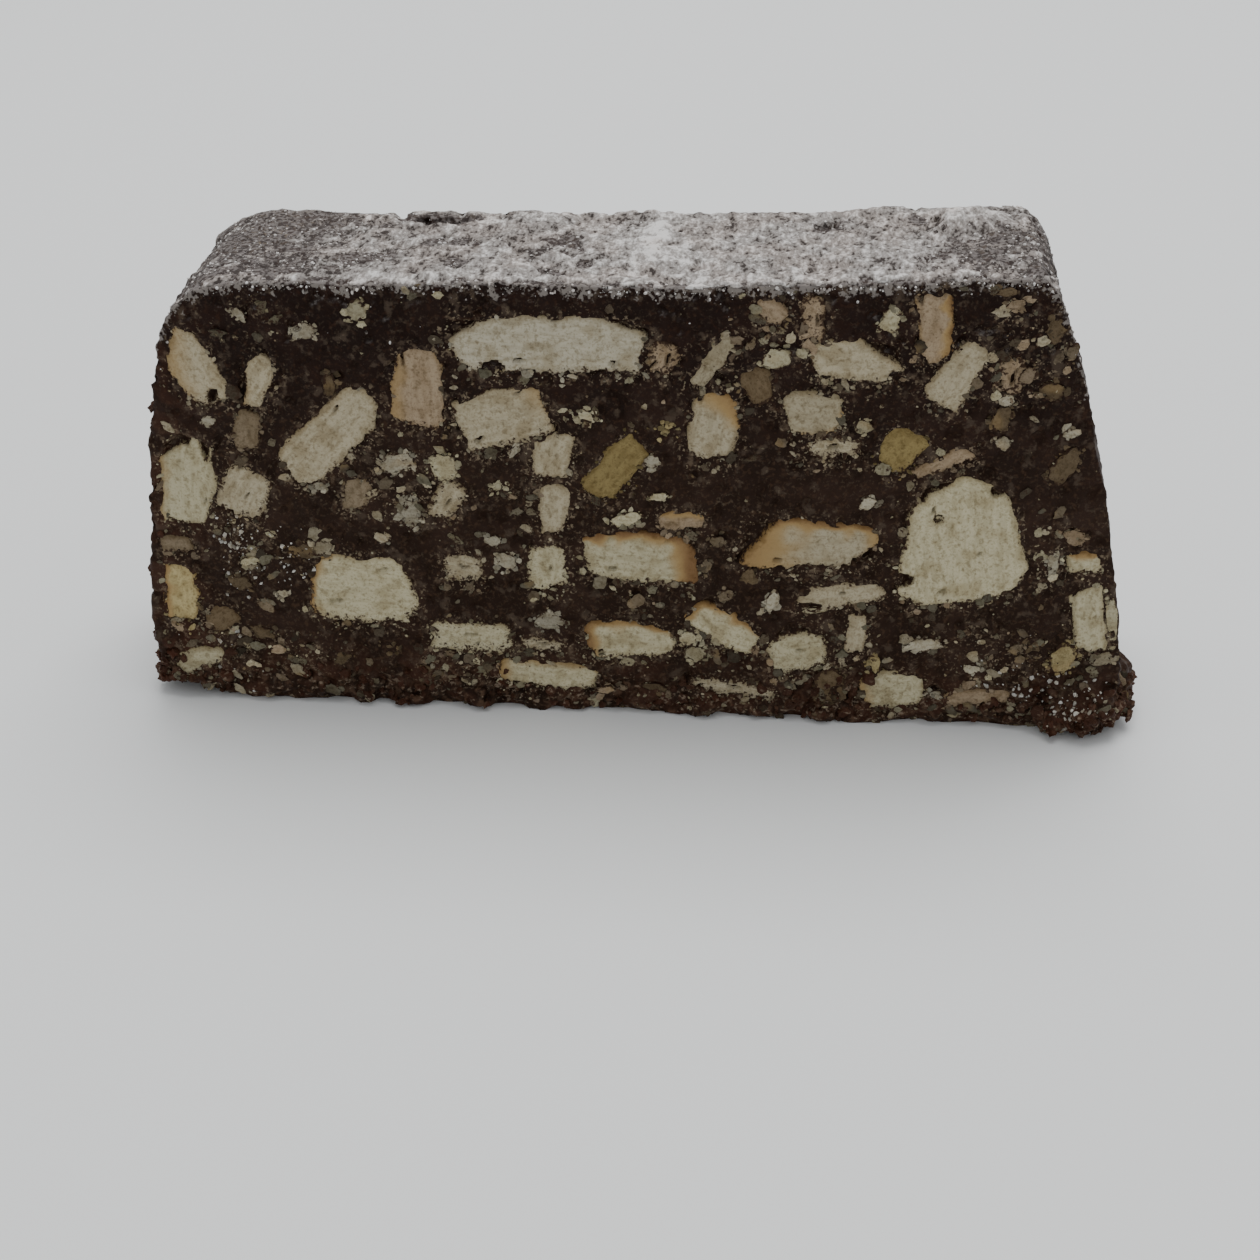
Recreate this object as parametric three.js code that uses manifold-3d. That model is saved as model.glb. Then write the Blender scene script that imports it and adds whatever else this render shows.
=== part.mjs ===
// Slice of chocolate salami: a slab cut from a loaf of dark chocolate set around broken tea biscuits.
// It stands on its base with one cut face to the front (-Y) and one to the back (+Y).
// Sizes are millimetres; X runs along the slice, Y through its thickness, Z up from the base.
import * as THREE from 'three';
import { mergeVertices } from 'three/addons/utils/BufferGeometryUtils.js';
import { ImprovedNoise } from 'three/addons/math/ImprovedNoise.js';
import Module from 'manifold-3d';

const wasm = await Module();
wasm.setup();

// Loaf outline, as seen on the cut face
const SLICE_THICKNESS = 19.5;
const FRONT = -SLICE_THICKNESS / 2;
const BACK = SLICE_THICKNESS / 2;
const BASE_LEFT = -47.3;
const BASE_RIGHT = 47;
const FOOT_RISE = 2;
const LEFT_FOOT = -48.7;
const RIGHT_FOOT = 49;
const LEFT_BOW = { x: -48.5, z: 24 };
const RIGHT_BOW = { x: 46.2, z: 27 };
const LEFT_SHOULDER = { x: -44.1, z: 40.6 };
const RIGHT_SHOULDER = { x: 38.4, z: 46.4 };
const SHOULDER_PULL = { x: -42.6, z: 45.5 };
const TOP_LEFT = { x: -36.4, z: 45.5 };
const TOP_MIDDLE = { x: 6, z: 46.2 };
const TOP_RIGHT = { x: 36.2, z: 47.9 };

// How finely the loaf is divided, and how uneven its moulded skin is
const OUTLINE_POINTS = 104;
const DEPTH_STEPS = 6;
const SKIN_SWELL = 0.45;
const SKIN_SWELL_LENGTH = 9;
const SKIN_CRUMB = 0.32;
const SKIN_CRUMB_LENGTH = 2.6;
const SKIN_AIM = 0.5;
const SKIN_AIM_HEIGHT = 22;
const FLAT_BASE_HEIGHT = 0.6;

// Biscuit pieces: clearance to the chocolate and how a piece changes on its way to the back
const GAP = 0.3;
const WELD = 1e-3;
const WALL = 0.9;
const POCKET_OVERSHOOT = 6;
const PIECE_POINTS = 10;
const LONG_PIECE = 8;
const LONG_PIECE_POINTS = 14;
const WOBBLE = 0.07;
const DRIFT_ACROSS = 1.7;
const DRIFT_UP = 1.1;
const END_TURN = 14;
const BACK_SCALE = { least: 0.82, spread: 0.26 };
const BLUNT_END = 0.62;
const BLUNT_WAY = 0.6;
const NARROWS_AT = 0.6;
const NARROWS_WAY = 0.3;
const RINGS = 3;
const RING_WOBBLE = 0.5;
const PIECE_SEED = 13;
const PIECE_SEED_STEP = 977;
const BACK_REACH = 9;
const THROUGH = 'through';
const FROM_BACK = 'from back';

// How a piece broke: square corners or rounded ones, and how far its upper side is arched
const SLAB = { square: 6.5, arch: 0 };
const CHUNK = { square: 3.6, arch: 0 };
const DOME = { square: 4.2, arch: 0.34 };
const SHARD = { square: 2.5, arch: 0 };
const WEDGE = { square: 3.4, arch: 0.42 };

// Hole pricked in the biscuit piece that lies flat against the cut
const PRICK = { x: 29.3, z: 23.2, radius: 0.5, depth: 3.4, sides: 8, piece: 47 };

// The biscuit pieces met by the cut:
// x and z of the centre, length, thickness, turn in degrees, taper, form, and how deep the piece runs
const PIECES = [
  // upper left
  [-28.9, 30.1, 11.8, 5.0, 45, 0, CHUNK, THROUGH],
  [-43.5, 24.9, 9.6, 5.6, 76, 0.1, CHUNK, THROUGH],
  [-41.5, 36.8, 8.4, 4.2, -58, 0.15, CHUNK, THROUGH],
  [-35.6, 35.5, 5.4, 3.0, 60, 0.2, CHUNK, 6],
  [-37.8, 23.6, 5.6, 4.8, 70, 0, CHUNK, 9],
  [-37.0, 30.5, 4.0, 2.7, 80, 0, CHUNK, 4],
  [-26.8, 24.0, 3.8, 3.0, 70, 0, SHARD, 4],
  // upper middle
  [-8.0, 40.2, 18.0, 5.5, 0, 0, SLAB, THROUGH],
  [-12.4, 32.5, 8.4, 5.6, 18, 0.05, SLAB, THROUGH],
  [-19.9, 35.4, 8.0, 5.0, 86, 0.1, CHUNK, THROUGH],
  [-1.5, 27.7, 7.7, 3.8, 54, 0, CHUNK, 12],
  [-7.6, 28.8, 4.8, 3.5, 85, -0.1, SLAB, 7],
  [-7.6, 23.0, 5.8, 3.0, 80, -0.3, CHUNK, 6],
  [-18.0, 23.6, 4.6, 2.6, 60, 0, CHUNK, 4],
  [3.0, 39.1, 3.3, 2.6, 85, 0, CHUNK, 4],
  // upper right
  [20.5, 39.4, 8.6, 4.3, 3, 0, CHUNK, THROUGH],
  [7.6, 32.4, 6.6, 4.5, 85, 0, CHUNK, THROUGH],
  [29.9, 38.3, 7.2, 3.6, 58, 0.2, CHUNK, THROUGH],
  [27.5, 43.3, 7.8, 3.2, 97, -0.1, CHUNK, 8],
  [17.0, 34.0, 5.5, 4.5, 0, 0, CHUNK, THROUGH],
  [25.2, 30.5, 4.8, 3.8, 60, -0.2, CHUNK, 9],
  [19.0, 30.4, 5.0, 2.5, 5, 0, CHUNK, 5],
  [34.6, 38.2, 4.0, 3.2, 80, 0, CHUNK, 5],
  [7.4, 39.0, 6.0, 1.8, 57, 0, SLAB, 5],
  [11.6, 36.5, 3.8, 2.8, -70, 0.3, SHARD, 4],
  [16.5, 43.3, 4.2, 2.1, 95, -0.2, CHUNK, 4],
  [12.8, 44.0, 3.2, 2.1, -30, 0.2, CHUNK, 4],
  [29.2, 29.3, 6.0, 1.6, 28, -0.3, CHUNK, 4],
  // lower left
  [-26.8, 13.4, 11.6, 7.4, 0, 0, DOME, THROUGH],
  [-45.7, 12.0, 6.6, 3.9, 88, 0.1, CHUNK, THROUGH],
  [-45.6, 17.6, 4.0, 1.9, 0, 0, CHUNK, 4],
  [-41.6, 9.2, 3.6, 2.8, 35, -0.2, CHUNK, 5],
  [-44.4, 4.2, 5.6, 2.2, 18, 0.2, CHUNK, 5],
  // lower middle
  [17.0, 20.2, 13.2, 4.8, 3, 0.1, SLAB, THROUGH],
  [0.8, 18.1, 11.4, 5.0, -3, 0, SLAB, THROUGH],
  [-8.4, 16.4, 5.2, 4.2, 95, 0.1, CHUNK, THROUGH],
  [-16.2, 8.0, 8.4, 3.7, 0, 0, SLAB, THROUGH],
  [-0.2, 8.6, 9.0, 3.9, 0, 0.2, CHUNK, THROUGH],
  [9.1, 10.3, 7.8, 3.6, -25, 0, CHUNK, THROUGH],
  [-8.4, 4.1, 10.4, 2.8, -4, 0.1, SLAB, 9],
  [16.8, 7.8, 6.0, 4.4, 20, 0, CHUNK, THROUGH],
  [20.6, 14.5, 8.4, 2.5, 12, -0.1, CHUNK, 9],
  [-16.7, 16.1, 3.8, 3.4, 0, 0, CHUNK, 6],
  [4.5, 22.1, 4.8, 2.1, 0, -0.1, CHUNK, 4],
  [-9.0, 7.5, 4.4, 2.1, -5, 0, CHUNK, 5],
  [10.2, 3.2, 8.2, 2.2, -8, 0, CHUNK, 5],
  // lower right
  [31.9, 21.0, 13.0, 14.1, 2, 0, WEDGE, 6],
  [22.3, 10.4, 4.6, 1.9, 88, 0, SLAB, 5],
  [45.2, 13.0, 7.6, 4.4, 102, 0.1, CHUNK, THROUGH],
  [26.3, 3.8, 6.4, 4.2, 10, 0, CHUNK, 12],
  [34.8, 3.2, 6.6, 1.8, 8, 0, CHUNK, 4],
  [43.9, 19.1, 4.4, 2.2, 5, 0, CHUNK, 4],
  // pieces met only by the back cut
  [1.5, 33.5, 9.0, 4.2, 30, 0, SLAB, FROM_BACK],
  [-36.0, 28.0, 7.0, 5.0, -40, 0, CHUNK, FROM_BACK],
  [-18.0, 23.5, 10.5, 4.6, 12, 0.1, SLAB, FROM_BACK],
  [38.0, 29.5, 8.0, 4.4, -60, 0, CHUNK, FROM_BACK],
  [-37.5, 8.5, 8.5, 4.4, 20, 0, SLAB, FROM_BACK],
  [37.0, 8.0, 7.5, 4.6, -25, 0.1, CHUNK, FROM_BACK],
  [29.0, 20.5, 12.5, 5.2, 74, 0, SLAB, FROM_BACK],
];

// Lumps of chocolate crumb pressed out at the heel of the slice: centre and half sizes
const HEEL_LUMPS = [
  [45.4, -8.6, 3.0, 4.6, 3.2, 3.2],
  [48.0, -5.6, 3.8, 2.5, 4.0, 3.0],
  [43.2, -9.9, 1.4, 2.4, 1.8, 1.6],
  [47.8, 4.2, 2.6, 2.3, 3.6, 2.4],
  [-47.8, -6.2, 5.6, 1.9, 2.8, 2.2],
  [-48.0, 3.6, 4.2, 1.7, 3.4, 2.6],
];
const BASE_CRUMB_SPACING = 5.9;
const BASE_CRUMB_SIZE = { along: 2.4, out: 1.1, up: 1.3, least: 0.5, spread: 1.0 };
const BASE_CRUMB_ROW = { left: BASE_LEFT + 9, right: BASE_RIGHT - 5 };
const BASE_CRUMB_SINK = 0.25;
const BASE_CRUMB_LIFT = 0.45;
const BASE_CRUMB_SEED = 41;
const LUMP_DETAIL = 1;
const LUMP_DENT = 0.36;
const LUMP_DENT_PITCH = 1.7;

// Room above the base, wider and taller than the slice
const ROOM = { wide: 200, tall: 100 };

// Rise of the moulded top at its right end: centre and half sizes
const TOP_RISE = [32.0, 4.5, 46.7, 5.4, 4.6, 2.1];

// Places where chocolate has broken away, with a groove in the top: centre and half sizes
const BROKEN_AWAY = [
  [-20.2, 7.4, 46.2, 3.9, 1.3, 1.6],
  [-24.2, 9.4, 46.2, 0.9, 2.2, 1.5],
  [-47.2, -9.4, 0, 5.2, 2.6, 1.7],
  [17.6, 5.8, 47.2, 1.4, 1.7, 1.5],
];

const noise = new ImprovedNoise();

// Repeatable random numbers between 0 and 1
function seeded(seed) {
  let state = seed >>> 0;
  return () => {
    state = (state + 0x6d2b79f5) >>> 0;
    let mixed = Math.imul(state ^ (state >>> 15), state | 1);
    mixed ^= mixed + Math.imul(mixed ^ (mixed >>> 7), mixed | 61);
    return ((mixed ^ (mixed >>> 14)) >>> 0) / 2 ** 32;
  };
}

function toSolid(geometry) {
  const bare = new THREE.BufferGeometry();
  bare.setAttribute('position', geometry.getAttribute('position'));
  if (geometry.index) bare.setIndex(geometry.index);
  const merged = mergeVertices(bare, WELD);
  const mesh = new wasm.Mesh({
    numProp: 3,
    vertProperties: Float32Array.from(merged.getAttribute('position').array),
    triVerts: Uint32Array.from(merged.index.array),
  });
  return new wasm.Manifold(mesh);
}

function toGeometry(solid) {
  const mesh = solid.getMesh();
  const geometry = new THREE.BufferGeometry();
  geometry.setAttribute('position', new THREE.BufferAttribute(Float32Array.from(mesh.vertProperties), 3));
  geometry.setIndex(new THREE.BufferAttribute(Uint32Array.from(mesh.triVerts), 1));
  geometry.computeVertexNormals();
  return geometry;
}

// Only the biggest body is kept where a cut leaves a loose flake behind
function biggestBody(solid) {
  const bodies = solid.decompose();
  return bodies.reduce((best, body) => (body.volume() > best.volume() ? body : best));
}

// Points spaced evenly around the loaf, moved inward by an inset
function loafOutline(inset) {
  const outline = new THREE.Shape();
  outline.moveTo(BASE_LEFT, 0);
  outline.lineTo(BASE_RIGHT, 0);
  outline.quadraticCurveTo(RIGHT_FOOT, 0, RIGHT_FOOT, FOOT_RISE);
  outline.quadraticCurveTo(RIGHT_BOW.x, RIGHT_BOW.z, RIGHT_SHOULDER.x, RIGHT_SHOULDER.z);
  outline.quadraticCurveTo(RIGHT_SHOULDER.x, TOP_RIGHT.z, TOP_RIGHT.x, TOP_RIGHT.z);
  outline.lineTo(TOP_MIDDLE.x, TOP_MIDDLE.z);
  outline.lineTo(TOP_LEFT.x, TOP_LEFT.z);
  outline.quadraticCurveTo(SHOULDER_PULL.x, SHOULDER_PULL.z, LEFT_SHOULDER.x, LEFT_SHOULDER.z);
  outline.quadraticCurveTo(LEFT_BOW.x, LEFT_BOW.z, LEFT_FOOT, FOOT_RISE);
  outline.quadraticCurveTo(LEFT_FOOT, 0, BASE_LEFT, 0);
  const points = outline.getSpacedPoints(OUTLINE_POINTS).slice(0, OUTLINE_POINTS);
  return points.map((point, i) => {
    const before = points[(i + OUTLINE_POINTS - 1) % OUTLINE_POINTS];
    const after = points[(i + 1) % OUTLINE_POINTS];
    const along = after.clone().sub(before).normalize();
    return new THREE.Vector2(point.x - along.y * inset, point.y + along.x * inset);
  });
}

// The outline pulled through a depth, standing up with its middle at Y = 0
function loafPrism(inset, depth, steps) {
  const prism = new THREE.ExtrudeGeometry(new THREE.Shape(loafOutline(inset)), {
    depth, steps, bevelEnabled: false,
  });
  return prism.rotateX(Math.PI / 2).translate(0, depth / 2, 0);
}

function noiseAt(point, length) {
  return noise.noise(point.x / length, point.y / length, point.z / length);
}

// The loaf, cut at both faces, with an uneven moulded skin
function loafGeometry() {
  const loaf = loafPrism(0, SLICE_THICKNESS, DEPTH_STEPS);
  const place = loaf.getAttribute('position');
  const point = new THREE.Vector3();
  const middle = new THREE.Vector3();
  for (let i = 0; i < place.count; i += 1) {
    point.fromBufferAttribute(place, i);
    if (point.z < FLAT_BASE_HEIGHT) continue;
    const swell = SKIN_SWELL * noiseAt(point, SKIN_SWELL_LENGTH);
    const crumb = SKIN_CRUMB * noiseAt(point, SKIN_CRUMB_LENGTH);
    middle.set(point.x * SKIN_AIM, point.y, SKIN_AIM_HEIGHT);
    const out = point.clone().sub(middle).setY(0).normalize();
    point.addScaledVector(out, swell + crumb);
    place.setXYZ(i, point.x, point.y, point.z);
  }
  return loaf;
}

// A rough lump: a ball drawn out to three half sizes and dented
function lumpSolid([x, y, z, along, across, up]) {
  const ball = new THREE.IcosahedronGeometry(1, LUMP_DETAIL);
  const place = ball.getAttribute('position');
  for (let i = 0; i < place.count; i += 1) {
    const [a, b, c] = [place.getX(i), place.getY(i), place.getZ(i)];
    const pitch = LUMP_DENT_PITCH;
    const swell = 1 + LUMP_DENT * noise.noise(a * pitch + x, b * pitch + y, c * pitch + z);
    place.setXYZ(i, x + a * along * swell, y + b * across * swell, z + c * up * swell);
  }
  return toSolid(ball);
}

// Outline of one biscuit piece about its own centre, grown evenly by a clearance
function pieceOutline(length, thickness, taper, form, points, grow, wobbleOf) {
  const outline = [];
  for (let i = 0; i < points; i += 1) {
    const angle = ((i + 0.5) / points) * Math.PI * 2;
    const cos = Math.cos(angle);
    const sin = Math.sin(angle);
    const u = Math.sign(cos) * Math.abs(cos) ** (2 / form.square);
    const v = Math.sign(sin) * Math.abs(sin) ** (2 / form.square);
    const uneven = 1 + wobbleOf(i);
    const halfLength = (length / 2) * (1 - form.arch * Math.max(v, 0)) * uneven + grow;
    const halfThickness = (thickness / 2) * (1 - taper * u) * uneven + grow;
    outline.push(new THREE.Vector2(u * halfLength, v * halfThickness));
  }
  return outline;
}

// One biscuit piece as rings joined from the front to the back; grow and overshoot make its pocket
function pieceSolid(row, number, grow, overshoot) {
  const [x, z, length, thickness, turn, taper, form, reach] = row;
  const random = seeded(number * PIECE_SEED_STEP + PIECE_SEED);
  const points = length > LONG_PIECE ? LONG_PIECE_POINTS : PIECE_POINTS;
  const wobbles = Array.from({ length: points * RINGS }, () => (random() * 2 - 1) * WOBBLE);
  const drift = { x: (random() * 2 - 1) * DRIFT_ACROSS, z: (random() * 2 - 1) * DRIFT_UP };
  const endTurn = (random() * 2 - 1) * END_TURN;
  const backScale = BACK_SCALE.least + random() * BACK_SCALE.spread;
  let stations;
  if (reach === THROUGH) {
    stations = [
      { y: FRONT, ring: 0, way: 0, scale: 1 },
      { y: 0, ring: 1, way: 0.5, scale: (1 + backScale) / 2 },
      { y: BACK, ring: 2, way: 1, scale: backScale },
    ];
  } else {
    const depth = reach === FROM_BACK ? BACK_REACH : reach;
    stations = [
      { y: FRONT, ring: 0, way: 0, scale: 1 },
      { y: FRONT + depth * NARROWS_AT, ring: 1, way: NARROWS_WAY, scale: 1 },
      { y: FRONT + depth + grow, ring: 2, way: BLUNT_WAY, scale: BLUNT_END },
    ];
    // A piece of the back cut is the same form turned about, its open end at the back
    if (reach === FROM_BACK) stations = stations.map((at) => ({ ...at, y: -at.y })).reverse();
  }
  // A pocket runs straight on out of each face it opens at
  if (overshoot > 0) {
    const first = stations[0];
    const last = stations[stations.length - 1];
    if (first.y === FRONT) stations = [{ ...first, y: FRONT - overshoot }, ...stations];
    if (last.y === BACK) stations = [...stations, { ...last, y: BACK + overshoot }];
  }
  const positions = [];
  const triangles = [];
  stations.forEach((station) => {
    const wobbleOf = (i) => wobbles[i] + RING_WOBBLE * wobbles[station.ring * points + i];
    const outline = pieceOutline(
      length * station.scale, thickness * station.scale, taper, form, points, grow, wobbleOf,
    );
    const angle = THREE.MathUtils.degToRad(turn + endTurn * station.way);
    outline.forEach((corner) => {
      corner.rotateAround(new THREE.Vector2(0, 0), angle);
      positions.push(x + drift.x * station.way + corner.x, station.y, z + drift.z * station.way + corner.y);
    });
  });
  for (let ring = 0; ring < stations.length - 1; ring += 1) {
    for (let i = 0; i < points; i += 1) {
      const next = (i + 1) % points;
      const a = ring * points + i;
      const b = ring * points + next;
      triangles.push(a, a + points, b, b, a + points, b + points);
    }
  }
  const lastRing = (stations.length - 1) * points;
  for (let i = 1; i < points - 1; i += 1) {
    triangles.push(0, i, i + 1);
    triangles.push(lastRing, lastRing + i + 1, lastRing + i);
  }
  const geometry = new THREE.BufferGeometry();
  geometry.setAttribute('position', new THREE.Float32BufferAttribute(positions, 3));
  geometry.setIndex(triangles);
  return toSolid(geometry);
}

// The hole pricked in the biscuit, running in from the front
function prickedHole() {
  const hole = new THREE.CylinderGeometry(PRICK.radius, PRICK.radius, PRICK.depth * 2, PRICK.sides);
  return toSolid(hole.translate(PRICK.x, FRONT, PRICK.z));
}

// The crumbs pressed out along the foot of both cut faces
function baseCrumbs() {
  const random = seeded(BASE_CRUMB_SEED);
  const crumbs = [];
  for (const [face, outward] of [[FRONT, -1], [BACK, 1]]) {
    for (let x = BASE_CRUMB_ROW.left; x < BASE_CRUMB_ROW.right; x += BASE_CRUMB_SPACING) {
      const uneven = () => BASE_CRUMB_SIZE.least + BASE_CRUMB_SIZE.spread * random();
      const along = BASE_CRUMB_SIZE.along * uneven();
      const out = BASE_CRUMB_SIZE.out * uneven();
      const up = BASE_CRUMB_SIZE.up * uneven();
      const place = x + (random() - 0.5) * BASE_CRUMB_SPACING;
      crumbs.push([place, face - outward * BASE_CRUMB_SINK, up * BASE_CRUMB_LIFT, along, out, up]);
    }
  }
  return crumbs;
}

// Whole loaf slice with its heel lumps, clipped level at the base
let loaf = toSolid(loafGeometry());
for (const lump of [...HEEL_LUMPS, TOP_RISE]) loaf = loaf.add(lumpSolid(lump));
for (const crumb of baseCrumbs()) loaf = loaf.add(lumpSolid(crumb));
for (const broken of BROKEN_AWAY) loaf = loaf.subtract(lumpSolid(broken));
const room = new THREE.BoxGeometry(ROOM.wide, ROOM.wide, ROOM.tall).translate(0, 0, ROOM.tall / 2);
const aboveBase = toSolid(room);
loaf = biggestBody(loaf.intersect(aboveBase));

// Biscuit pieces first, each kept clear of those before it, then their pockets in the chocolate
const pocketDepth = SLICE_THICKNESS + 2 * POCKET_OVERSHOOT;
const biscuitRoom = toSolid(loafPrism(WALL + GAP, pocketDepth, 1));
const pocketRoom = toSolid(loafPrism(WALL, pocketDepth, 1));
let chocolate = loaf;
const biscuits = [];
const pockets = [];
PIECES.forEach((row, index) => {
  let biscuit = pieceSolid(row, index + 1, 0, 0).intersect(biscuitRoom);
  for (const pocket of pockets) biscuit = biscuit.subtract(pocket);
  if (index + 1 === PRICK.piece) biscuit = biscuit.subtract(prickedHole());
  biscuits.push(biggestBody(biscuit));
  pockets.push(pieceSolid(row, index + 1, GAP, POCKET_OVERSHOOT).intersect(pocketRoom));
});
for (const pocket of pockets) chocolate = chocolate.subtract(pocket);
chocolate = biggestBody(toSolid(toGeometry(biggestBody(chocolate))));

// The slice stands with the middle of its base at the origin
const box = chocolate.boundingBox();
const standing = new THREE.Group();
standing.position.set(-(box.min[0] + box.max[0]) / 2, -(box.min[1] + box.max[1]) / 2, -box.min[2]);

const chocolateMaterial = new THREE.MeshStandardMaterial({ color: 0x2a1a14, roughness: 0.7, metalness: 0 });
const biscuitMaterial = new THREE.MeshStandardMaterial({ color: 0xc9bb9a, roughness: 0.9, metalness: 0 });

function addPart(name, solid, material) {
  const mesh = new THREE.Mesh(toGeometry(solid), material);
  mesh.name = name;
  standing.add(mesh);
}

addPart('chocolate', chocolate, chocolateMaterial);
biscuits.forEach((biscuit, index) => {
  addPart(`biscuit_${String(index + 1).padStart(2, '0')}`, biscuit, biscuitMaterial);
});

const slice = new THREE.Group();
slice.add(standing);
export default slice;
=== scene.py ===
# %% [markdown]
# # A slice of chocolate salami
# The slice is a slab of dark chocolate set around broken tea biscuits, standing on its base.
# Its solids come packed as a fixed frame: one node for the chocolate and one for each biscuit.
# This lesson gives each node its crumbly, cut look, adds crumbs and icing sugar, and lights it.

import math
from collections import namedtuple

import bmesh
import bpy
import numpy as np
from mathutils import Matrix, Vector
from mathutils.bvhtree import BVHTree


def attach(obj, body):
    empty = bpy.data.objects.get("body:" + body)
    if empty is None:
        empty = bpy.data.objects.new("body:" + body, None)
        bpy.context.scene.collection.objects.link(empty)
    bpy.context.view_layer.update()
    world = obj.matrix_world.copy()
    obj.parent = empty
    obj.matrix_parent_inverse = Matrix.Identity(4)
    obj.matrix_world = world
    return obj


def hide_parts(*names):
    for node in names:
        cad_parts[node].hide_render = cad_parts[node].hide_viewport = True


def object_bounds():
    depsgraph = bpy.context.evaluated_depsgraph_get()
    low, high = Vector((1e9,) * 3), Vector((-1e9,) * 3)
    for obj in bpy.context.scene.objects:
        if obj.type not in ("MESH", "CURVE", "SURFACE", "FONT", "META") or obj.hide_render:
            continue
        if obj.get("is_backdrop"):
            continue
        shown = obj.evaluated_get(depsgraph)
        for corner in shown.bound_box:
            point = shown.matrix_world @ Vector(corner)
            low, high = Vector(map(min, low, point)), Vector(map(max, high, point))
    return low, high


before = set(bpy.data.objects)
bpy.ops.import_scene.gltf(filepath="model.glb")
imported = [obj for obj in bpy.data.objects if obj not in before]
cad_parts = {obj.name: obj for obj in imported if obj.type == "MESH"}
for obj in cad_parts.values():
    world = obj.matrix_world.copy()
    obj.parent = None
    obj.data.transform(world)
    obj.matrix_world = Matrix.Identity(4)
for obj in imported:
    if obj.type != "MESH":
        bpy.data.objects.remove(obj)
cad_low, cad_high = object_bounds()
biscuit_names = sorted(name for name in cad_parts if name.startswith("biscuit_"))
print("loaded", len(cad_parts), "nodes, of them", len(biscuit_names), "biscuits")

# %% [markdown]
# ## Working in millimetres
# Blender counts in metres, but crumbs are easier to think of in millimetres.
# So every shape is worked out as numpy arrays of points in millimetres and triangles.
# It is turned into a Blender mesh only at the end. Arrays are also far quicker than loops over vertices.

# %% Arrays in and out of meshes
MM = 0.001
WELD = 1e-6


def arrays_of(mesh):
    """Points and triangles of a mesh, in the mesh's own unit."""
    mesh.calc_loop_triangles()
    points = np.zeros(len(mesh.vertices) * 3)
    mesh.vertices.foreach_get("co", points)
    triangles = np.zeros(len(mesh.loop_triangles) * 3, np.int32)
    mesh.loop_triangles.foreach_get("vertices", triangles)
    return points.reshape(-1, 3), triangles.reshape(-1, 3)


def cad_arrays(name):
    """A CAD node as points in millimetres and triangles, with doubled points joined."""
    mesh = bpy.data.meshes.new("welded")
    work = bmesh.new()
    work.from_mesh(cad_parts[name].data)
    bmesh.ops.remove_doubles(work, verts=work.verts, dist=WELD)
    work.to_mesh(mesh)
    work.free()
    points, triangles = arrays_of(mesh)
    bpy.data.meshes.remove(mesh)
    return points / MM, triangles


def mesh_of(name, points, triangles):
    """A new mesh from points and triangles."""
    mesh = bpy.data.meshes.new(name)
    mesh.vertices.add(len(points))
    mesh.vertices.foreach_set("co", np.asarray(points, np.float32).ravel())
    mesh.loops.add(len(triangles) * 3)
    mesh.loops.foreach_set("vertex_index", np.asarray(triangles, np.int32).ravel())
    mesh.polygons.add(len(triangles))
    mesh.polygons.foreach_set("loop_start", np.arange(len(triangles), dtype=np.int32) * 3)
    mesh.update(calc_edges=True)
    return mesh


def joined(shapes):
    """Several pairs of points and triangles as one pair."""
    counts = np.cumsum([0] + [len(points) for points, triangles in shapes])
    all_points = np.concatenate([points for points, triangles in shapes])
    all_triangles = np.concatenate([shape[1] + start for shape, start in zip(shapes, counts)])
    return all_points, all_triangles


cad = {name: cad_arrays(name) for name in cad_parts}
FRONT = min(cad[name][0][:, 1].min() for name in biscuit_names)
BACK = max(cad[name][0][:, 1].max() for name in biscuit_names)
FACES = ((-1, FRONT), (1, BACK))
print("cut faces at y", round(FRONT, 2), "and", round(BACK, 2), "mm")

# %% [markdown]
# ## Unevenness
# Broken and cut food has bumps of many lengths on top of each other.
# They could be painted by hand, but a field of smooth noise gives the same bumps on every run.
# Each row of a list of waves gives a height, a length and a seed, and the waves add up.

# %% Noise and normals
DIRECTION_COUNT = 1021
DIRECTION_SEED = 7
NOISE_GAIN = 1.7
SEED_SHIFT = 17.31
SEED_STEP = 7919
CELL_MIX = (73856093, 19349663, 83492791)
CORNERS = [(a, b, c) for a in (0, 1) for b in (0, 1) for c in (0, 1)]


def unit(vectors, least=1e-12):
    """Vectors of length one; those shorter than the least stay short."""
    return vectors / np.maximum(np.linalg.norm(vectors, axis=1, keepdims=True), least)


DIRECTIONS = unit(np.random.default_rng(DIRECTION_SEED).normal(size=(DIRECTION_COUNT, 3)))


def uneven(points, length, seed):
    """Smooth noise from about -1 to 1, with one bump in each given length."""
    place = np.asarray(points) / length + seed * SEED_SHIFT
    corner = np.floor(place).astype(np.int64)
    inside = place - corner
    fade = inside**3 * (inside * (inside * 6 - 15) + 10)
    total = np.zeros(len(place))
    for step in CORNERS:
        mixed = np.bitwise_xor.reduce((corner + step) * CELL_MIX, axis=1)
        slope = DIRECTIONS[(mixed + seed * SEED_STEP) % DIRECTION_COUNT]
        weight = np.prod(np.where(step, fade, 1 - fade), axis=1)
        total += weight * np.einsum("ij,ij->i", slope, inside - step)
    return NOISE_GAIN * total


def waves(points, rows, start=0):
    """A start with smooth noise added to it, for rows of a height, a length and a seed."""
    return sum((height * uneven(points, length, seed) for height, length, seed in rows), start)


def ease(low, high, value):
    """0 at low, 1 at high, with a smooth change between them."""
    share = np.clip((np.asarray(value) - low) / (high - low), 0, 1)
    return share * share * (3 - 2 * share)


def banded(row, value):
    """An amount that comes in smoothly over a band of a value."""
    amount, low, high = row
    return amount * ease(low, high, value)


def face_normals(points, triangles):
    """The normal of each triangle, twice as long as its area."""
    a, b, c = (points[triangles[:, i]] for i in range(3))
    return np.cross(b - a, c - a)


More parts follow.
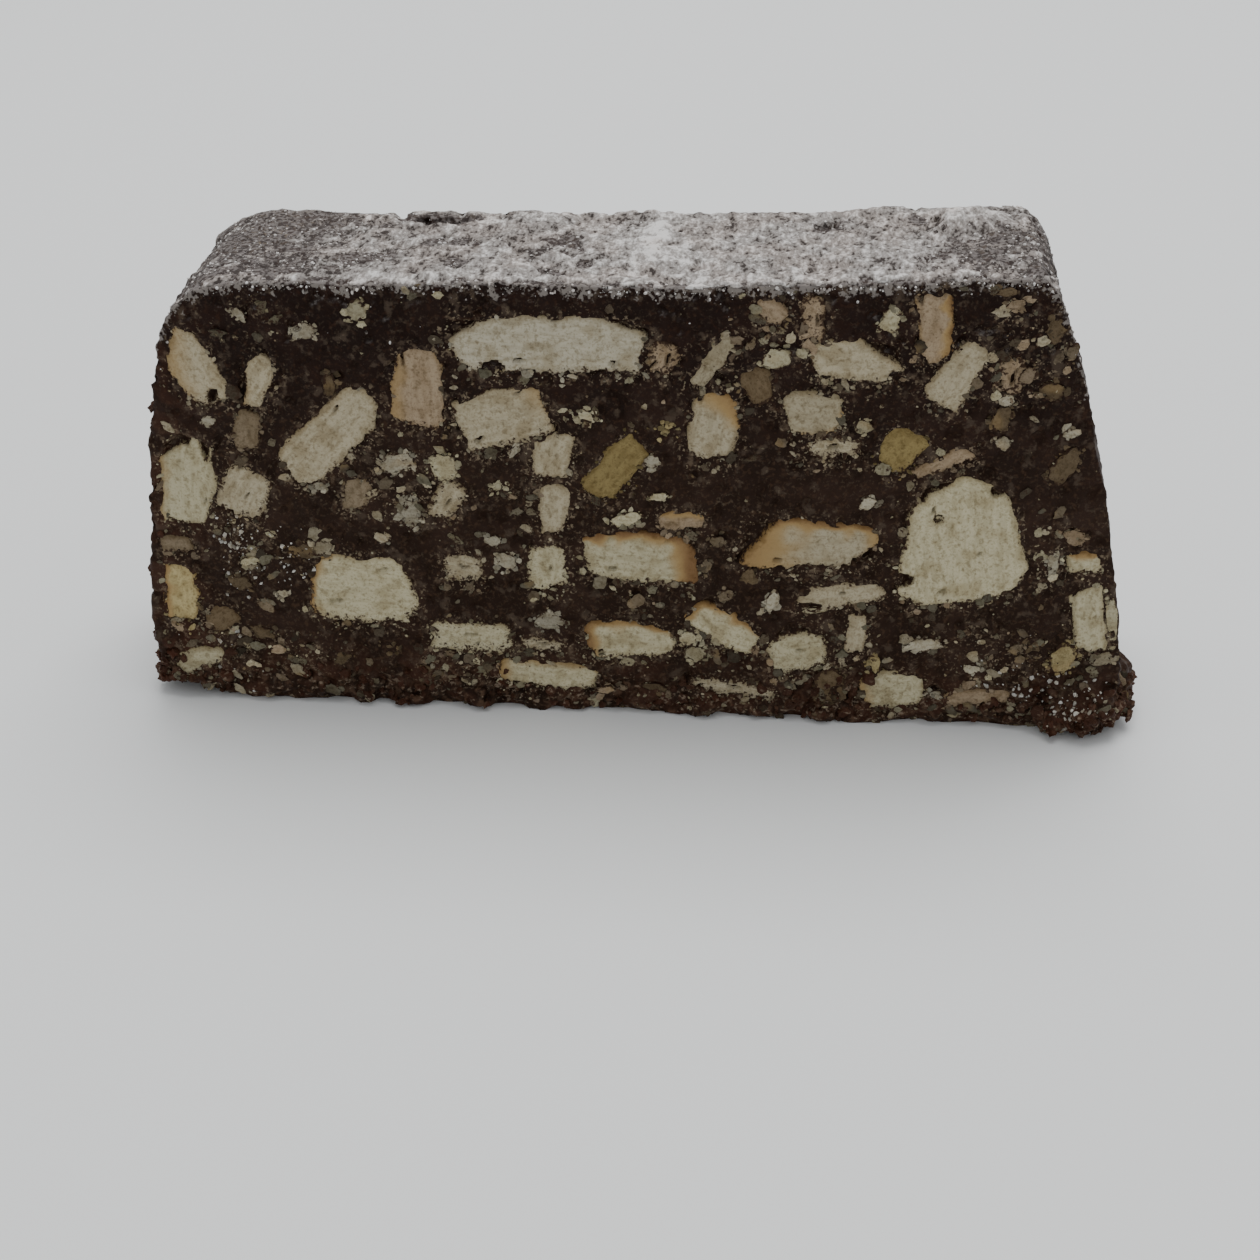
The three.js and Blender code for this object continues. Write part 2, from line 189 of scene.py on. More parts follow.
def normals_of(points, triangles):
    """One normal for each point, the mean of its faces' normals by their areas."""
    face = face_normals(points, triangles)
    total = np.zeros_like(points)
    for axis in range(3):
        for corner in range(3):
            total[:, axis] += np.bincount(triangles[:, corner], face[:, axis], len(points))
    return unit(total)


trial = uneven(cad["chocolate"][0], 1.0, 1)
print("noise on the chocolate runs from", trial.min().round(2), "to", trial.max().round(2))

# %% [markdown]
# ## Even faces
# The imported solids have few, long triangles, so they can't carry crumbs and pits.
# A voxel remesh turns a solid into small even faces, which can then be pushed in and out.
# Search trees then answer where a ray meets a body and which wall is nearest.

# %% Remeshing and search trees
LEAST_SIDEWAYS = 1e-9


def evaluated_mesh(piece):
    """A new mesh of an object with its modifiers applied and its stored values kept."""
    graph = bpy.context.evaluated_depsgraph_get()
    return bpy.data.meshes.new_from_object(
        piece.evaluated_get(graph), preserve_all_data_layers=True, depsgraph=graph
    )


def through_modifier(points, triangles, kind, **settings):
    """Points and triangles after one modifier."""
    mesh = mesh_of("work", points, triangles)
    work = bpy.data.objects.new("work", mesh)
    bpy.context.scene.collection.objects.link(work)
    modifier = work.modifiers.new("step", kind)
    for name, value in settings.items():
        setattr(modifier, name, value)
    made = evaluated_mesh(work)
    result = arrays_of(made)
    bpy.data.objects.remove(work)
    bpy.data.meshes.remove(mesh)
    bpy.data.meshes.remove(made)
    return result


def remeshed(points, triangles, voxel):
    """The same body in even faces about one voxel wide."""
    return through_modifier(points, triangles, "REMESH", mode="VOXEL", voxel_size=voxel)


def grown_sideways(points, triangles, amount):
    """A body made wider in X and Z alone, so that its cut faces stay where they are."""
    out = normals_of(points, triangles)
    out[:, 1] = 0
    return points + amount * unit(out, LEAST_SIDEWAYS), triangles


def tree_of(points, triangles):
    """A search tree for rays and nearest points."""
    return BVHTree.FromPolygons(points.tolist(), triangles.tolist())


# %% [markdown]
# ## The camera
# The slice is seen a little from its right and from well above.
# The angle, distance and lens were fitted to the corners of the cut face and of the top.

# %% Camera
CAMERA_AZIMUTH = math.radians(4.2)
CAMERA_ELEVATION = math.radians(31.4)
CAMERA_DISTANCE = 211
CAMERA_AIM = Vector((-1.28, 0.41, 3.8))
LENS = 57.1
SENSOR = 36
NEAREST_SEEN = 0.01

towards_camera = Vector(
    (
        math.sin(CAMERA_AZIMUTH) * math.cos(CAMERA_ELEVATION),
        -math.cos(CAMERA_AZIMUTH) * math.cos(CAMERA_ELEVATION),
        math.sin(CAMERA_ELEVATION),
    )
)
camera_data = bpy.data.cameras.new("camera")
camera_data.lens = LENS
camera_data.sensor_width = SENSOR
camera_data.clip_start = NEAREST_SEEN
camera = bpy.data.objects.new("camera", camera_data)
camera.location = (CAMERA_AIM + towards_camera * CAMERA_DISTANCE) * MM
camera.rotation_euler = towards_camera.to_track_quat("Z", "Y").to_euler()
bpy.context.scene.collection.objects.link(camera)
bpy.context.scene.camera = camera
print("camera at", [round(c, 3) for c in camera.location])

# %% [markdown]
# ## Where the biscuits meet the cut
# A biscuit broken by hand has a wavy outline, not the straight-sided one of its solid.
# One warp field bends all outlines a little, and the chocolate asks the same field where they are.
# A ray sent in from the front or the back then tells whether biscuit or chocolate lies there.
# The nearest side wall tells how far inside the outline a point is.

# %% Warped outlines
WARP_ACROSS = ((0.18, 3.4, 3), (0.11, 1.3, 13))
WARP_UP = ((0.18, 3.4, 4), (0.11, 1.3, 14))
RAY_START = 5.0
RAY_DEPTH = 1.0
SIDE_FACING = 0.5
EDGE_REACH = 6.0


def warp(points):
    """How far each point moves in X and Z to make outlines wavy."""
    move = np.zeros((len(points), 3))
    move[:, 0] = waves(points, WARP_ACROSS)
    move[:, 2] = waves(points, WARP_UP)
    return move


def side_walls(points, triangles):
    """A search tree of the walls of a body that run in from the cut face."""
    out = unit(face_normals(points, triangles))
    return tree_of(points, triangles[np.abs(out[:, 1]) < SIDE_FACING])


all_biscuits = joined([cad[name] for name in biscuit_names])
biscuit_tree = tree_of(*all_biscuits)
wall_tree = side_walls(*all_biscuits)


def biscuit_depth(points, side):
    """How far inside a biscuit's outline each point of a cut face lies, or -1 on chocolate."""
    face = FRONT if side < 0 else BACK
    flat = points.copy()
    flat[:, 1] = face
    flat -= warp(flat)
    inward = Vector((0, -side, 0))
    depth = np.full(len(points), -1.0)
    for i, (x, y, z) in enumerate(flat):
        start = Vector((x, face + side * RAY_START, z))
        if biscuit_tree.ray_cast(start, inward, RAY_START + RAY_DEPTH)[0] is not None:
            gap = wall_tree.find_nearest(Vector((x, face, z)), EDGE_REACH)[3]
            depth[i] = EDGE_REACH if gap is None else gap
    return depth


print("outlines move by up to", np.abs(warp(all_biscuits[0])).max().round(2), "mm")

# %% [markdown]
# ## The chocolate
# Cut chocolate closes tightly round the biscuits, with no gap such as the solids have.
# So the biscuits, a little widened, are joined to it before the remesh.
# Each cut face then gets a shallow bed under every biscuit, where the biscuit's own face will lie.

# %% Chocolate in even faces
LOAF_VOXEL = 0.28
FILL_GROWTH = 0.4
BED_DEPTH = 0.6
BED_SLOPE = 0.7
CUT_FACING = 0.6
CUT_REACH = 0.7

filling = [grown_sideways(*cad[name], FILL_GROWTH) for name in biscuit_names]
loaf, loaf_faces = remeshed(*joined([cad["chocolate"]] + filling), LOAF_VOXEL)
loaf_out = normals_of(loaf, loaf_faces)
bed = np.zeros(len(loaf))
for side, face in FACES:
    cut = (loaf_out[:, 1] * side > CUT_FACING) & (np.abs(loaf[:, 1] - face) < CUT_REACH)
    loaf_out[cut] = (0, side, 0)
    bed[cut] = BED_DEPTH * ease(0, BED_SLOPE, biscuit_depth(loaf[cut], side))
print("chocolate:", len(loaf_faces), "even faces")

# %% [markdown]
# ## Grit, pits and crumbs
# Chocolate full of biscuit dust is gritty: bumps of three lengths, and pits where noise is high.
# The foot, its corners and the left end are the most crumbly.
# The base stays flat, and its edges are hollowed a little, so that a thin shadow falls under them.
# At last the mesh is thinned where it is flat, which leaves more faces for the rough parts.

# %% Chocolate relief
GRIT = ((0.1, 2.5, 21), (0.13, 1.15, 22), (0.1, 0.65, 23))
PITS = (0.4, 0.32, 0.65)
PIT_NOISE = (1.3, 24)
FOOT_HEIGHTS = (7.0, 2.0)
CORNER_CRUMBLE = (0.6, 41, 46)
CORNER_HEIGHTS = (14, 4)
FOOT_CRUMBS = ((0.6, 1.9, 25), (0.42, 0.9, 26))
LEFT_FACING = (-0.5, -0.9)
LEFT_CRUMBS = ((0.24, 1.5, 27), (0.2, 0.8, 28))
CLEAR_OF_BASE = (0.05, 1.0)
UNDERCUT = 0.9
UNDERCUT_HEIGHTS = (1.5, 0.1)
UNDERCUT_PLACES = (5, 9)
UNDERCUT_MEAN = 0.5
UNDERCUT_WAVES = ((0.5, 3.0, 29),)
LOAF_TRIANGLES = 195000

pits = banded(PITS, uneven(loaf, *PIT_NOISE))
foot = ease(*FOOT_HEIGHTS, loaf[:, 2])
foot += banded(CORNER_CRUMBLE, np.abs(loaf[:, 0])) * ease(*CORNER_HEIGHTS, loaf[:, 2])
crumbly = foot * waves(loaf, FOOT_CRUMBS)
ragged_end = ease(*LEFT_FACING, loaf_out[:, 0]) * waves(loaf, LEFT_CRUMBS)
push = (waves(loaf, GRIT) - pits + crumbly + ragged_end - bed) * ease(*CLEAR_OF_BASE, loaf[:, 2])
loaf = loaf + push[:, None] * loaf_out
hollow = ease(*UNDERCUT_HEIGHTS, loaf[:, 2]) * ease(*UNDERCUT_PLACES, np.abs(loaf[:, 1]))
loaf[:, 1] -= np.sign(loaf[:, 1]) * UNDERCUT * hollow * waves(loaf, UNDERCUT_WAVES, UNDERCUT_MEAN)
loaf[:, 2] = np.maximum(loaf[:, 2], 0)
loaf, loaf_faces = through_modifier(
    loaf, loaf_faces, "DECIMATE", ratio=LOAF_TRIANGLES / len(loaf_faces), use_collapse_triangulate=True
)
loaf_tree = tree_of(loaf, loaf_faces)
print("chocolate:", len(loaf_faces), "triangles")

# %% [markdown]
# ## Finished pieces
# Every finished piece rides on the slice's one body and may stand for nodes of the frame.
# A material can read values stored at the points of a mesh, which is how a piece carries its own looks.
# Thinning comes after storing, because the values then follow the points that are left.

# %% Pieces and their stored values
FIELDS = {"FLOAT_VECTOR": "vector", "FLOAT_COLOR": "color", "FLOAT": "value"}


def show(name, points, triangles, replaced=(), smooth=True):
    """A finished piece that rides on the body and may stand for nodes, which it hides."""
    mesh = mesh_of(name, points * MM, triangles)
    mesh.polygons.foreach_set("use_smooth", np.full(len(triangles), smooth))
    piece = bpy.data.objects.new(name, mesh)
    bpy.context.scene.collection.objects.link(piece)
    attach(piece, "root")
    if replaced:
        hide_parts(*replaced)
    return piece


def keep(piece, name, kind, values):
    """Stores one value for each point of a piece, for its material to read."""
    attribute = piece.data.attributes.new(name, kind, "POINT")
    attribute.data.foreach_set(FIELDS[kind], np.asarray(values, np.float32).ravel())


def keep_tone(piece, colours):
    """Stores a colour for each point, or one for all of them."""
    tone = np.ones((len(piece.data.vertices), 4))
    tone[:, :3] = colours
    keep(piece, "tone", "FLOAT_COLOR", tone)


def thin(piece, share):
    """Leaves a share of a piece's triangles, fewest where it is flat."""
    modifier = piece.modifiers.new("thin", "DECIMATE")
    modifier.ratio = share
    modifier.use_collapse_triangulate = True
    dense = piece.data
    thinned = evaluated_mesh(piece)
    piece.modifiers.clear()
    piece.data = thinned
    bpy.data.meshes.remove(dense)


chocolate = show("chocolate_body", loaf, loaf_faces, ["chocolate"])
print("chocolate shown, with", len(chocolate.data.vertices), "points")

# %% [markdown]
# ## Dusty places
# The knife leaves biscuit dust just below each biscuit and in patches where small bits broke up.
# The patches are listed as seen in front, by place, half sizes and strength, and mirrored at the back.
# Places in this and the later lists are counted before the slice was centred on its base.

# %% Patches and dust
LOAF_SHIFT = -0.379
PATCHES = [
    (-37.9, 17.9, 4.0, 4.0, 0.9),
    (-22.5, 24.6, 5.0, 4.5, 0.8),
    (-35.5, 41.8, 6.0, 2.6, 0.35),
    (36.5, 41.5, 4.5, 6.0, 0.8),
    (40.3, 19.5, 2.4, 5.0, 0.8),
    (-15.5, 4.3, 8.0, 2.6, 1.0),
    (-37.0, 5.5, 9.0, 3.0, 0.9),
    (16.9, 7.0, 6.0, 3.0, 0.8),
    (8.0, 36.0, 4.0, 3.5, 0.5),
    (13.5, 43.0, 4.5, 3.5, 0.7),
    (19.6, 30.4, 4.0, 2.5, 0.7),
    (35.6, 7.9, 7.0, 4.0, 0.7),
    (-30.0, 16.6, 4.0, 4.0, 0.6),
    (-44.0, 6.5, 3.0, 4.5, 1.0),
    (2.8, 12.2, 4.0, 2.2, 0.6),
    (-8.8, 24.0, 3.5, 6.0, 0.4),
]
PATCH_FADE = (1.35, 0.5)
PATCH_DUST = 0.45
DUST_REACH = 1.8
DUST_BESIDE = 0.35
DUST_BELOW = 0.65
DUSTY = 0.3


def patch_share(points, side):
    """How crumbly each point of a cut face is by the patches seen in front, mirrored at the back."""
    share = np.zeros(len(points))
    for x, z, wide, tall, strength in PATCHES:
        away = np.hypot((-side * points[:, 0] - x - LOAF_SHIFT) / wide, (points[:, 2] - z) / tall)
        share = np.maximum(share, strength * ease(*PATCH_FADE, away))
    return share


def dust_share(points):
    """How dusty with biscuit each point of the chocolate is, most so in a patch or just below a biscuit."""
    share = PATCH_DUST * patch_share(points, np.sign(points[:, 1]))
    for i, point in enumerate(points):
        place, normal, face, gap = wall_tree.find_nearest(Vector(point), DUST_REACH)
        if gap:
            below = max(0.0, (place.z - point[2]) / gap)
            share[i] = max(share[i], ease(DUST_REACH, 0, gap) * (DUST_BESIDE + DUST_BELOW * below))
    return share


loaf_dust = dust_share(loaf)
keep(chocolate, "dust", "FLOAT", loaf_dust)
print("dust lies on", round(100 * (loaf_dust > DUSTY).mean()), "% of the chocolate's points")

# %% [markdown]
# ## What each biscuit piece is like
# Most pieces are cream inside. Others are grey, dull, dim, amber, tan, clay or brown, and two are ochre.
# Where a piece keeps the biscuit's baked outside, that side is browned by some strength and depth.
# Some pieces crumble more at their edges, are full of pores, or have lost a corner or a bite.
# These notes are by piece number; what isn't listed is plain cream with a faint toast on top.

# %% Biscuit tones, browned sides and breaks
TONES = {
    "cream": (0.54, 0.49, 0.33),
    "grey": (0.50, 0.455, 0.345),
    "dull": (0.46, 0.402, 0.28),
    "dim": (0.385, 0.335, 0.23),
    "amber": (0.50, 0.41, 0.21),
    "tan": (0.375, 0.286, 0.19),
    "clay": (0.247, 0.192, 0.125),
    "ochre": (0.275, 0.208, 0.083),
    "brown": (0.17, 0.121, 0.068),
}
TONE_OF = {
    "grey": (8,),
    "dull": (1, 3, 4, 5, 9, 12, 13, 14, 16, 17, 18, 22, 34, 42, 43, 45, 46, 48),
    "dim": (20, 24),
    "amber": (30,),
    "tan": (10, 15, 19, 23, 26, 27, 28, 44, 51),
    "clay": (6, 7, 31),
    "ochre": (11, 21),
    "brown": (25, 32),
}
WAYS = {
    "top": (0, 1),
    "left": (-1, 0),
    "right": (1, 0),
    "upper left": (-0.7, 0.7),
    "upper right": (0.7, 0.7),
    "lower right": (0.7, -0.7),
}
PLAIN_TOP = [("top", 0.06, 0.5)]
BROWNED = {
    1: [("upper left", 0.12, 1.0)],
    2: [("left", 0.35, 1.4)],
    3: [("left", 0.34, 3.4)],
    4: [("left", 0.55, 1.9)],
    8: [("top", 0.15, 0.6)],
    9: [("upper right", 0.34, 2.8), ("top", 0.1, 0.8)],
    10: [("left", 0.35, 2.0), ("right", 0.25, 0.6)],
    17: [("upper right", 0.62, 3.2)],
    19: [("right", 0.8, 1.2), ("left", 0.3, 0.6)],
    20: [("lower right", 0.45, 0.9)],
    29: [("left", 0.8, 1.2), ("top", 0.2, 0.7)],
    30: [("left", 0.6, 1.6), ("right", 0.3, 0.8)],
    34: [("left", 0.62, 9.0), ("top", 0.8, 1.6), ("right", 0.45, 2.2)],
    35: [("right", 1.0, 3.4), ("top", 0.95, 1.64)],
    38: [("left", 0.8, 1.8), ("top", 0.7, 1.0)],
    39: [("top", 0.7, 1.0)],
    40: [("left", 0.5, 1.8), ("top", 0.35, 0.9)],
    44: [("top", 0.6, 1.5)],
    50: [("left", 0.4, 1.6)],
    52: [("top", 0.65, 1.4)],
}
CRUMBLY = {
    14: 0.8, 15: 1.2, 22: 1.3, 23: 1.4, 26: 1.1, 28: 1.2,
    36: 1.2, 37: 1.3, 42: 0.8, 45: 1.3, 46: 1.3,
}
PLAIN_PORES = 0.12
PORES = {
    5: 0.25, 9: 0.2, 14: 0.35, 15: 0.5, 22: 0.5, 23: 0.6, 26: 0.4, 29: 0.2,
    36: 0.3, 37: 0.45, 41: 0.3, 42: 0.3, 43: 0.4, 45: 0.55, 46: 0.5,
}
BITES = {
    2: [(-41.3, 29.3, 0.4, 1.5), (-43.0, 29.6, 0.3, 0.9)],
    3: [(-39.9, 33.9, 0.35, 0.6)],
    8: [(-13.0, 37.6, 0.7, 0.6), (-7.0, 43.1, 0.6, 0.35)],
    42: [(17.3, 13.3, 0.9, 0.2)],
    47: [(34.6, 26.6, 0.6, 0.5), (26.5, 16.6, 0.6, 0.6)],
}
BROKEN_CORNERS = {
    2: [(-44.3, 28.5, 133)],
    4: [(-36.9, 34.7, 180)],
    8: [(-15.4, 41.7, 122), (-0.6, 42.3, 69)],
    16: [(23.2, 40.4, 59)],
    34: [(11.8, 20.2, 145), (23.0, 19.0, -48)],
    35: [(5.8, 19.9, 40)],
    47: [(28.0, 26.0, 130)],
}
tone_by_number = {number: tone for tone, numbers in TONE_OF.items() for number in numbers}
print("tones set for", len(tone_by_number), "pieces, browned sides for", len(BROWNED))


# %% [markdown]
# ## Edges, layers and breaks of a piece
# What a point of a piece looks like depends on how far inside the outline it is.
# It also depends on which way the nearest side faces: a knife drags crumbs downward.
# The biscuit's layers run along the longer side of the piece, which its outline tells.

# %% Facts about a piece
BISCUIT_GROWTH = 0.42
BREAK_WAVES = ((0.3, 1.4, 48),)
BITE_SLOPE = 1.2
BITE_WAVES = ((0.3, 0.9, 47),)


def number_of(name):
    """The number in a biscuit node's name."""
    return int(name.split("_")[1])


def long_axis(outline):
    """Unit vector in X and Z along the longer side of an outline."""
    spread = np.cov((outline - outline.mean(0)).T)
    return np.linalg.eigh(spread)[1][:, 1]


def layer_places(points, outline):
    """Places along, through and across a piece's layers, in millimetres from its middle."""
    along = long_axis(outline)
    flat = points[:, [0, 2]] - outline.mean(0)
    across = np.array((-along[1], along[0]))
    return np.stack([flat @ along, points[:, 1], flat @ across], axis=1)


def edge_facts(points, name):
    """How far inside the outline each point is, and which way the nearest side faces in X and Z."""
    outline_walls = side_walls(*cad[name])
    inside = np.zeros(len(points))
    facing = np.zeros((len(points), 2))
    for i, point in enumerate(points):
        place, normal, face, gap = outline_walls.find_nearest(Vector(point))
        outside = (Vector(point) - place).dot(normal) > 0
        inside[i] = BISCUIT_GROWTH + (-gap if outside else gap)
        facing[i] = (normal.x, normal.z)
    return inside, facing


def broken_off(points, number, inside, facing):
    """The same facts once corners have broken off and bites are out."""
    facing = facing.copy()
    flat = points[:, [0, 2]]
    for x, z, way in BROKEN_CORNERS.get(number, ()):
        out = np.array((math.cos(math.radians(way)), math.sin(math.radians(way))))
        gap = (np.array((x + LOAF_SHIFT, z)) - flat) @ out + waves(points, BREAK_WAVES)
        facing[gap < inside] = out
        inside = np.minimum(inside, gap)
    for x, z, wide, tall in BITES.get(number, ()):
        away = np.hypot((flat[:, 0] - x - LOAF_SHIFT) / wide, (flat[:, 1] - z) / tall)
        gap = BITE_SLOPE * (away * waves(points, BITE_WAVES, 1) - 1)
        inside = np.minimum(inside, gap)
    return inside, facing


print("broken corners on", len(BROKEN_CORNERS), "pieces and bites on", len(BITES))

# %% [markdown]
# ## Wear, stain and toast
# The lower edge of a piece is ragged and the upper edge cleaner, because the knife went down.
# There the cut face is worn away by noise, and chocolate smears over what is left of the rim.
# A narrow toasted rim follows the outline; a wide one fades evenly in from one side of the piece.

# %% Wear, stain and toast
draw = np.random.default_rng(31)
TEARS = np.array((1.7, 1.7, 0.75))
WEAR_WAVES = ((0.5, 1.25, 41), (0.35, 0.62, 42))
WEAR_MEAN = 0.5
WEAR_MOST = 1.4
WEAR_FADE = (0.12, -0.12)
WEAR_BESIDE = 0.4
WEAR_BY_FACING = 0.36
WEAR_SPREAD = (0.7, 1.3)
HOLES = np.array((0.45, 0.45, 1.3))
HOLE_NOISE = (0.8, 45)
HOLE_LEVEL = 0.8
HOLE_LEVEL_DROP = 0.62
HOLE_FADE = 0.14
PORE_DEPTH = 0.8
STAIN_BESIDE = 0.95
STAIN_BY_FACING = 0.55
STAIN_BY_PORES = 2.2
TOAST_NOISE = (1.8, 46)
TOAST_FACING = (0.05, 0.75)
WIDE_BROWNING = 1.65
WIDE_WAVER = 0.3
WIDE_FULL = 0.1
NARROW_WAVER = 0.7
NARROW_FULL = 0.15


def worn_share(points, number, layer, inside, facing):
    """1 where the cut face has crumbled away, 0 where it is whole."""
    ragged = WEAR_BESIDE - WEAR_BY_FACING * facing[:, 1]
    ragged = ragged * CRUMBLY.get(number, 1.0) * draw.uniform(*WEAR_SPREAD)
    wear_noise = waves(points * TEARS, WEAR_WAVES, WEAR_MEAN)
    worn = ease(*WEAR_FADE, inside - ragged * np.clip(wear_noise, 0, WEAR_MOST))
    least = HOLE_LEVEL - HOLE_LEVEL_DROP * PORES.get(number, PLAIN_PORES)
    holes = ease(least, least + HOLE_FADE, uneven(layer * HOLES, *HOLE_NOISE))
    return np.maximum(worn, PORE_DEPTH * holes)


def stain_edge(number, inside, facing):
    """0 on the outline and 1 where the chocolate smeared over the rim of a piece ends."""
    reach = (STAIN_BESIDE - STAIN_BY_FACING * facing[:, 1]) * CRUMBLY.get(number, 1.0)
    return np.clip(inside / (reach + STAIN_BY_PORES * PORES.get(number, 0.0)), -1, 3)


def toast_share(points, number, outline, inside, facing):
    """How browned each point of a piece is by the sides that kept the biscuit's baked skin."""
    toast = np.zeros(len(points))
    for direction, strength, width in BROWNED.get(number, PLAIN_TOP):
        way = np.array(WAYS[direction])
        wide = width > WIDE_BROWNING
        waver = WIDE_WAVER if wide else NARROW_WAVER
        reach = (width + BISCUIT_GROWTH) * (1 + waver * uneven(points, *TOAST_NOISE))
        if wide:
            share = ease(reach, WIDE_FULL * reach, (outline @ way).max() - points[:, [0, 2]] @ way)
        else:
            share = ease(*TOAST_FACING, facing @ way) * ease(reach, NARROW_FULL * reach, inside)
        toast = np.maximum(toast, strength * share)
    return toast


print("wear reaches about", WEAR_BESIDE + WEAR_BY_FACING, "mm in from a lower edge")


# %% [markdown]
# ## The biscuit pieces
# Each solid is widened to close its gap, remeshed, rounded, and warped like its bed in the chocolate.
# Its cut face is pushed in by wear, down below the bed, so that chocolate shows there.
# Fine relief follows the layers. The rounding takes more steps on a thick piece.

# %% Biscuit pieces
BISCUIT_VOXEL = 0.25
BISCUIT_SHARE = 0.31
ON_FACE = 0.01
ROUNDING_LEAST = 14
ROUNDING_MORE = 30
THIN_TO_THICK = (2.2, 5.0)
WEAR_DEPTH = 0.95
GRAIN_DEPTH = 0.12
GRAIN_STRETCH = (0.16, 0.16, 1.0)
GRAIN_NOISE = (0.5, 43)
CRUMB_WAVES = ((0.13, 0.8, 44),)
SUNK = (-0.1, 0.06)
TONE_SPREAD = (0.93, 1.05)


def make_biscuit(name):
    """One biscuit piece with its worn cut faces, and what its material needs to know."""
    number = number_of(name)
    points, triangles = remeshed(*grown_sideways(*cad[name], BISCUIT_GROWTH), BISCUIT_VOXEL)
    solid = cad[name][0]
    face = FRONT if solid[:, 1].min() < FRONT + ON_FACE else BACK
    outline = solid[np.abs(solid[:, 1] - face) < ON_FACE][:, [0, 2]]
    thickness = np.ptp(layer_places(points, outline)[:, 2])
    steps = ROUNDING_LEAST + int(ROUNDING_MORE * ease(*THIN_TO_THICK, thickness))
    points, triangles = through_modifier(points, triangles, "SMOOTH", iterations=steps, use_y=False)
    out = normals_of(points, triangles)
    skin = edge_facts(points, name)
    inside, facing = broken_off(points, number, *skin)
    layer = layer_places(points, outline)
    worn = worn_share(points, number, layer, inside, facing)
    grain = waves(points, CRUMB_WAVES, GRAIN_DEPTH * uneven(layer * GRAIN_STRETCH, *GRAIN_NOISE))
    inward = draw.uniform(*SUNK) - grain + worn * WEAR_DEPTH
    toast = toast_share(points, number, outline, *skin)
    for side, face in FACES:
        cut = (out[:, 1] * side > SIDE_FACING) & (np.abs(points[:, 1] - face) < CUT_REACH)
        points[cut, 1] -= side * inward[cut]
    points = points + warp(points)
    piece = show(f"biscuit_piece_{number:02d}", points, triangles, [name])
    keep_tone(piece, np.array(TONES[tone_by_number.get(number, "cream")]) * draw.uniform(*TONE_SPREAD))
    keep(piece, "layer", "FLOAT_VECTOR", layer)
    keep(piece, "toast", "FLOAT", toast)
    keep(piece, "edge", "FLOAT", stain_edge(number, inside, facing))
    keep(piece, "inside", "FLOAT", np.clip(inside, 0, 4))
    thin(piece, BISCUIT_SHARE)
    return piece


biscuits = [make_biscuit(name) for name in biscuit_names]
print("biscuits:", len(biscuits), "with", sum(len(piece.data.polygons) for piece in biscuits), "triangles")

# %% [markdown]
# ## Crumbs in the cut
# Between the pieces the knife meets smaller bits, and it smears crumbs and specks below every biscuit.
# All are small dented balls, cut flat like the face they lie in.
# They are joined into two pieces: the crumbs of known bits and pieces, and the specks with bright grains
# that are partly painted glints.

# %% Dented balls
BALL_STEP = 5.3
DENT_PITCH = 1.3
DENT_LENGTH = 1.0
FINE_DENT = 0.6
FINE_DENT_LENGTH = 0.45
FLAT_UNEVEN = 0.6
FLAT_LENGTH = 0.3


def ball(detail):
    """Points and triangles of a unit ball."""
    work = bmesh.new()
    bmesh.ops.create_icosphere(work, subdivisions=detail, radius=1)
    mesh = bpy.data.meshes.new("ball")
    work.to_mesh(mesh)
    work.free()
    shape = arrays_of(mesh)
    bpy.data.meshes.remove(mesh)
    return shape


BALLS = {detail: ball(detail) for detail in (1, 2, 3)}


def lumps(detail, centres, sizes, turns, dent, seed, proud=None):
    """Many dented balls: half sizes along X, Y and Z before a turn about Y, and how proud they stand."""
    points, triangles = BALLS[detail]
    count = len(centres)
    offset = np.arange(count)[:, None, None] * BALL_STEP
    sample = (points[None] * DENT_PITCH + offset).reshape(-1, 3)
    fine = FINE_DENT * uneven(sample, FINE_DENT_LENGTH, seed + 1)
    swell = 1 + dent * (uneven(sample, DENT_LENGTH, seed) + fine)
    shaped = points[None] * swell.reshape(count, -1, 1) * sizes[:, None, :]
    angle = np.radians(turns)[:, None]
    x = shaped[..., 0] * np.cos(angle) - shaped[..., 2] * np.sin(angle)
    z = shaped[..., 0] * np.sin(angle) + shaped[..., 2] * np.cos(angle)
    y = shaped[..., 1]
    if proud is not None:
        flat = proud * (1 + FLAT_UNEVEN * uneven(sample, FLAT_LENGTH, seed + 2)).reshape(count, -1)
        y = np.clip(y, -flat, flat)
    placed = np.stack([x, y, z], axis=-1) + centres[:, None, :]
    starts = np.arange(count)[:, None, None] * len(points)
    return placed.reshape(-1, 3), (triangles[None] + starts).reshape(-1, 3)


def per_point(values, detail):
    """Values of balls repeated for all the points of each ball."""
    return np.repeat(values, len(BALLS[detail][0]), axis=0)


def ball_sizes(count, radii, low, high):
    """Radii from a least one, a spread and a power, and half sizes stretched by chance."""
    least, spread, power = radii
    radius = least + spread * draw.random(count) ** power
    return radius, radius[:, None] * draw.uniform(low, high, (count, 3))


def by_size(radius, large):
    """Pairs of a ball's detail and which balls get it, with more faces for large ones."""
    return ((1, radius < large), (2, radius >= large))


print("balls of", [len(triangles) for points, triangles in BALLS.values()], "triangles")

# %% [markdown]
# ## Where a crumb may lie
# A crumb lies on the cut face or on the heel, not on the ends or the top.
# Rays beside, above and at its place tell where the chocolate is, or that the face ends there.
# Crumbs are gathered in heaps, with a tone and an edge value for each point.

# %% Places and heaps
RAY_FROM = 30.0
HEEL_TOP = 12.0
HEEL_REACH = 3.6
FACE_REACH = 2.2
FACE_MARGIN = 0.6
CRUMB_INSIDE = 1.6
CRUMB_TOAST = (0.2, 0.1, 0.7)
CRUMB_TOAST_NOISE = (2.0, 67)


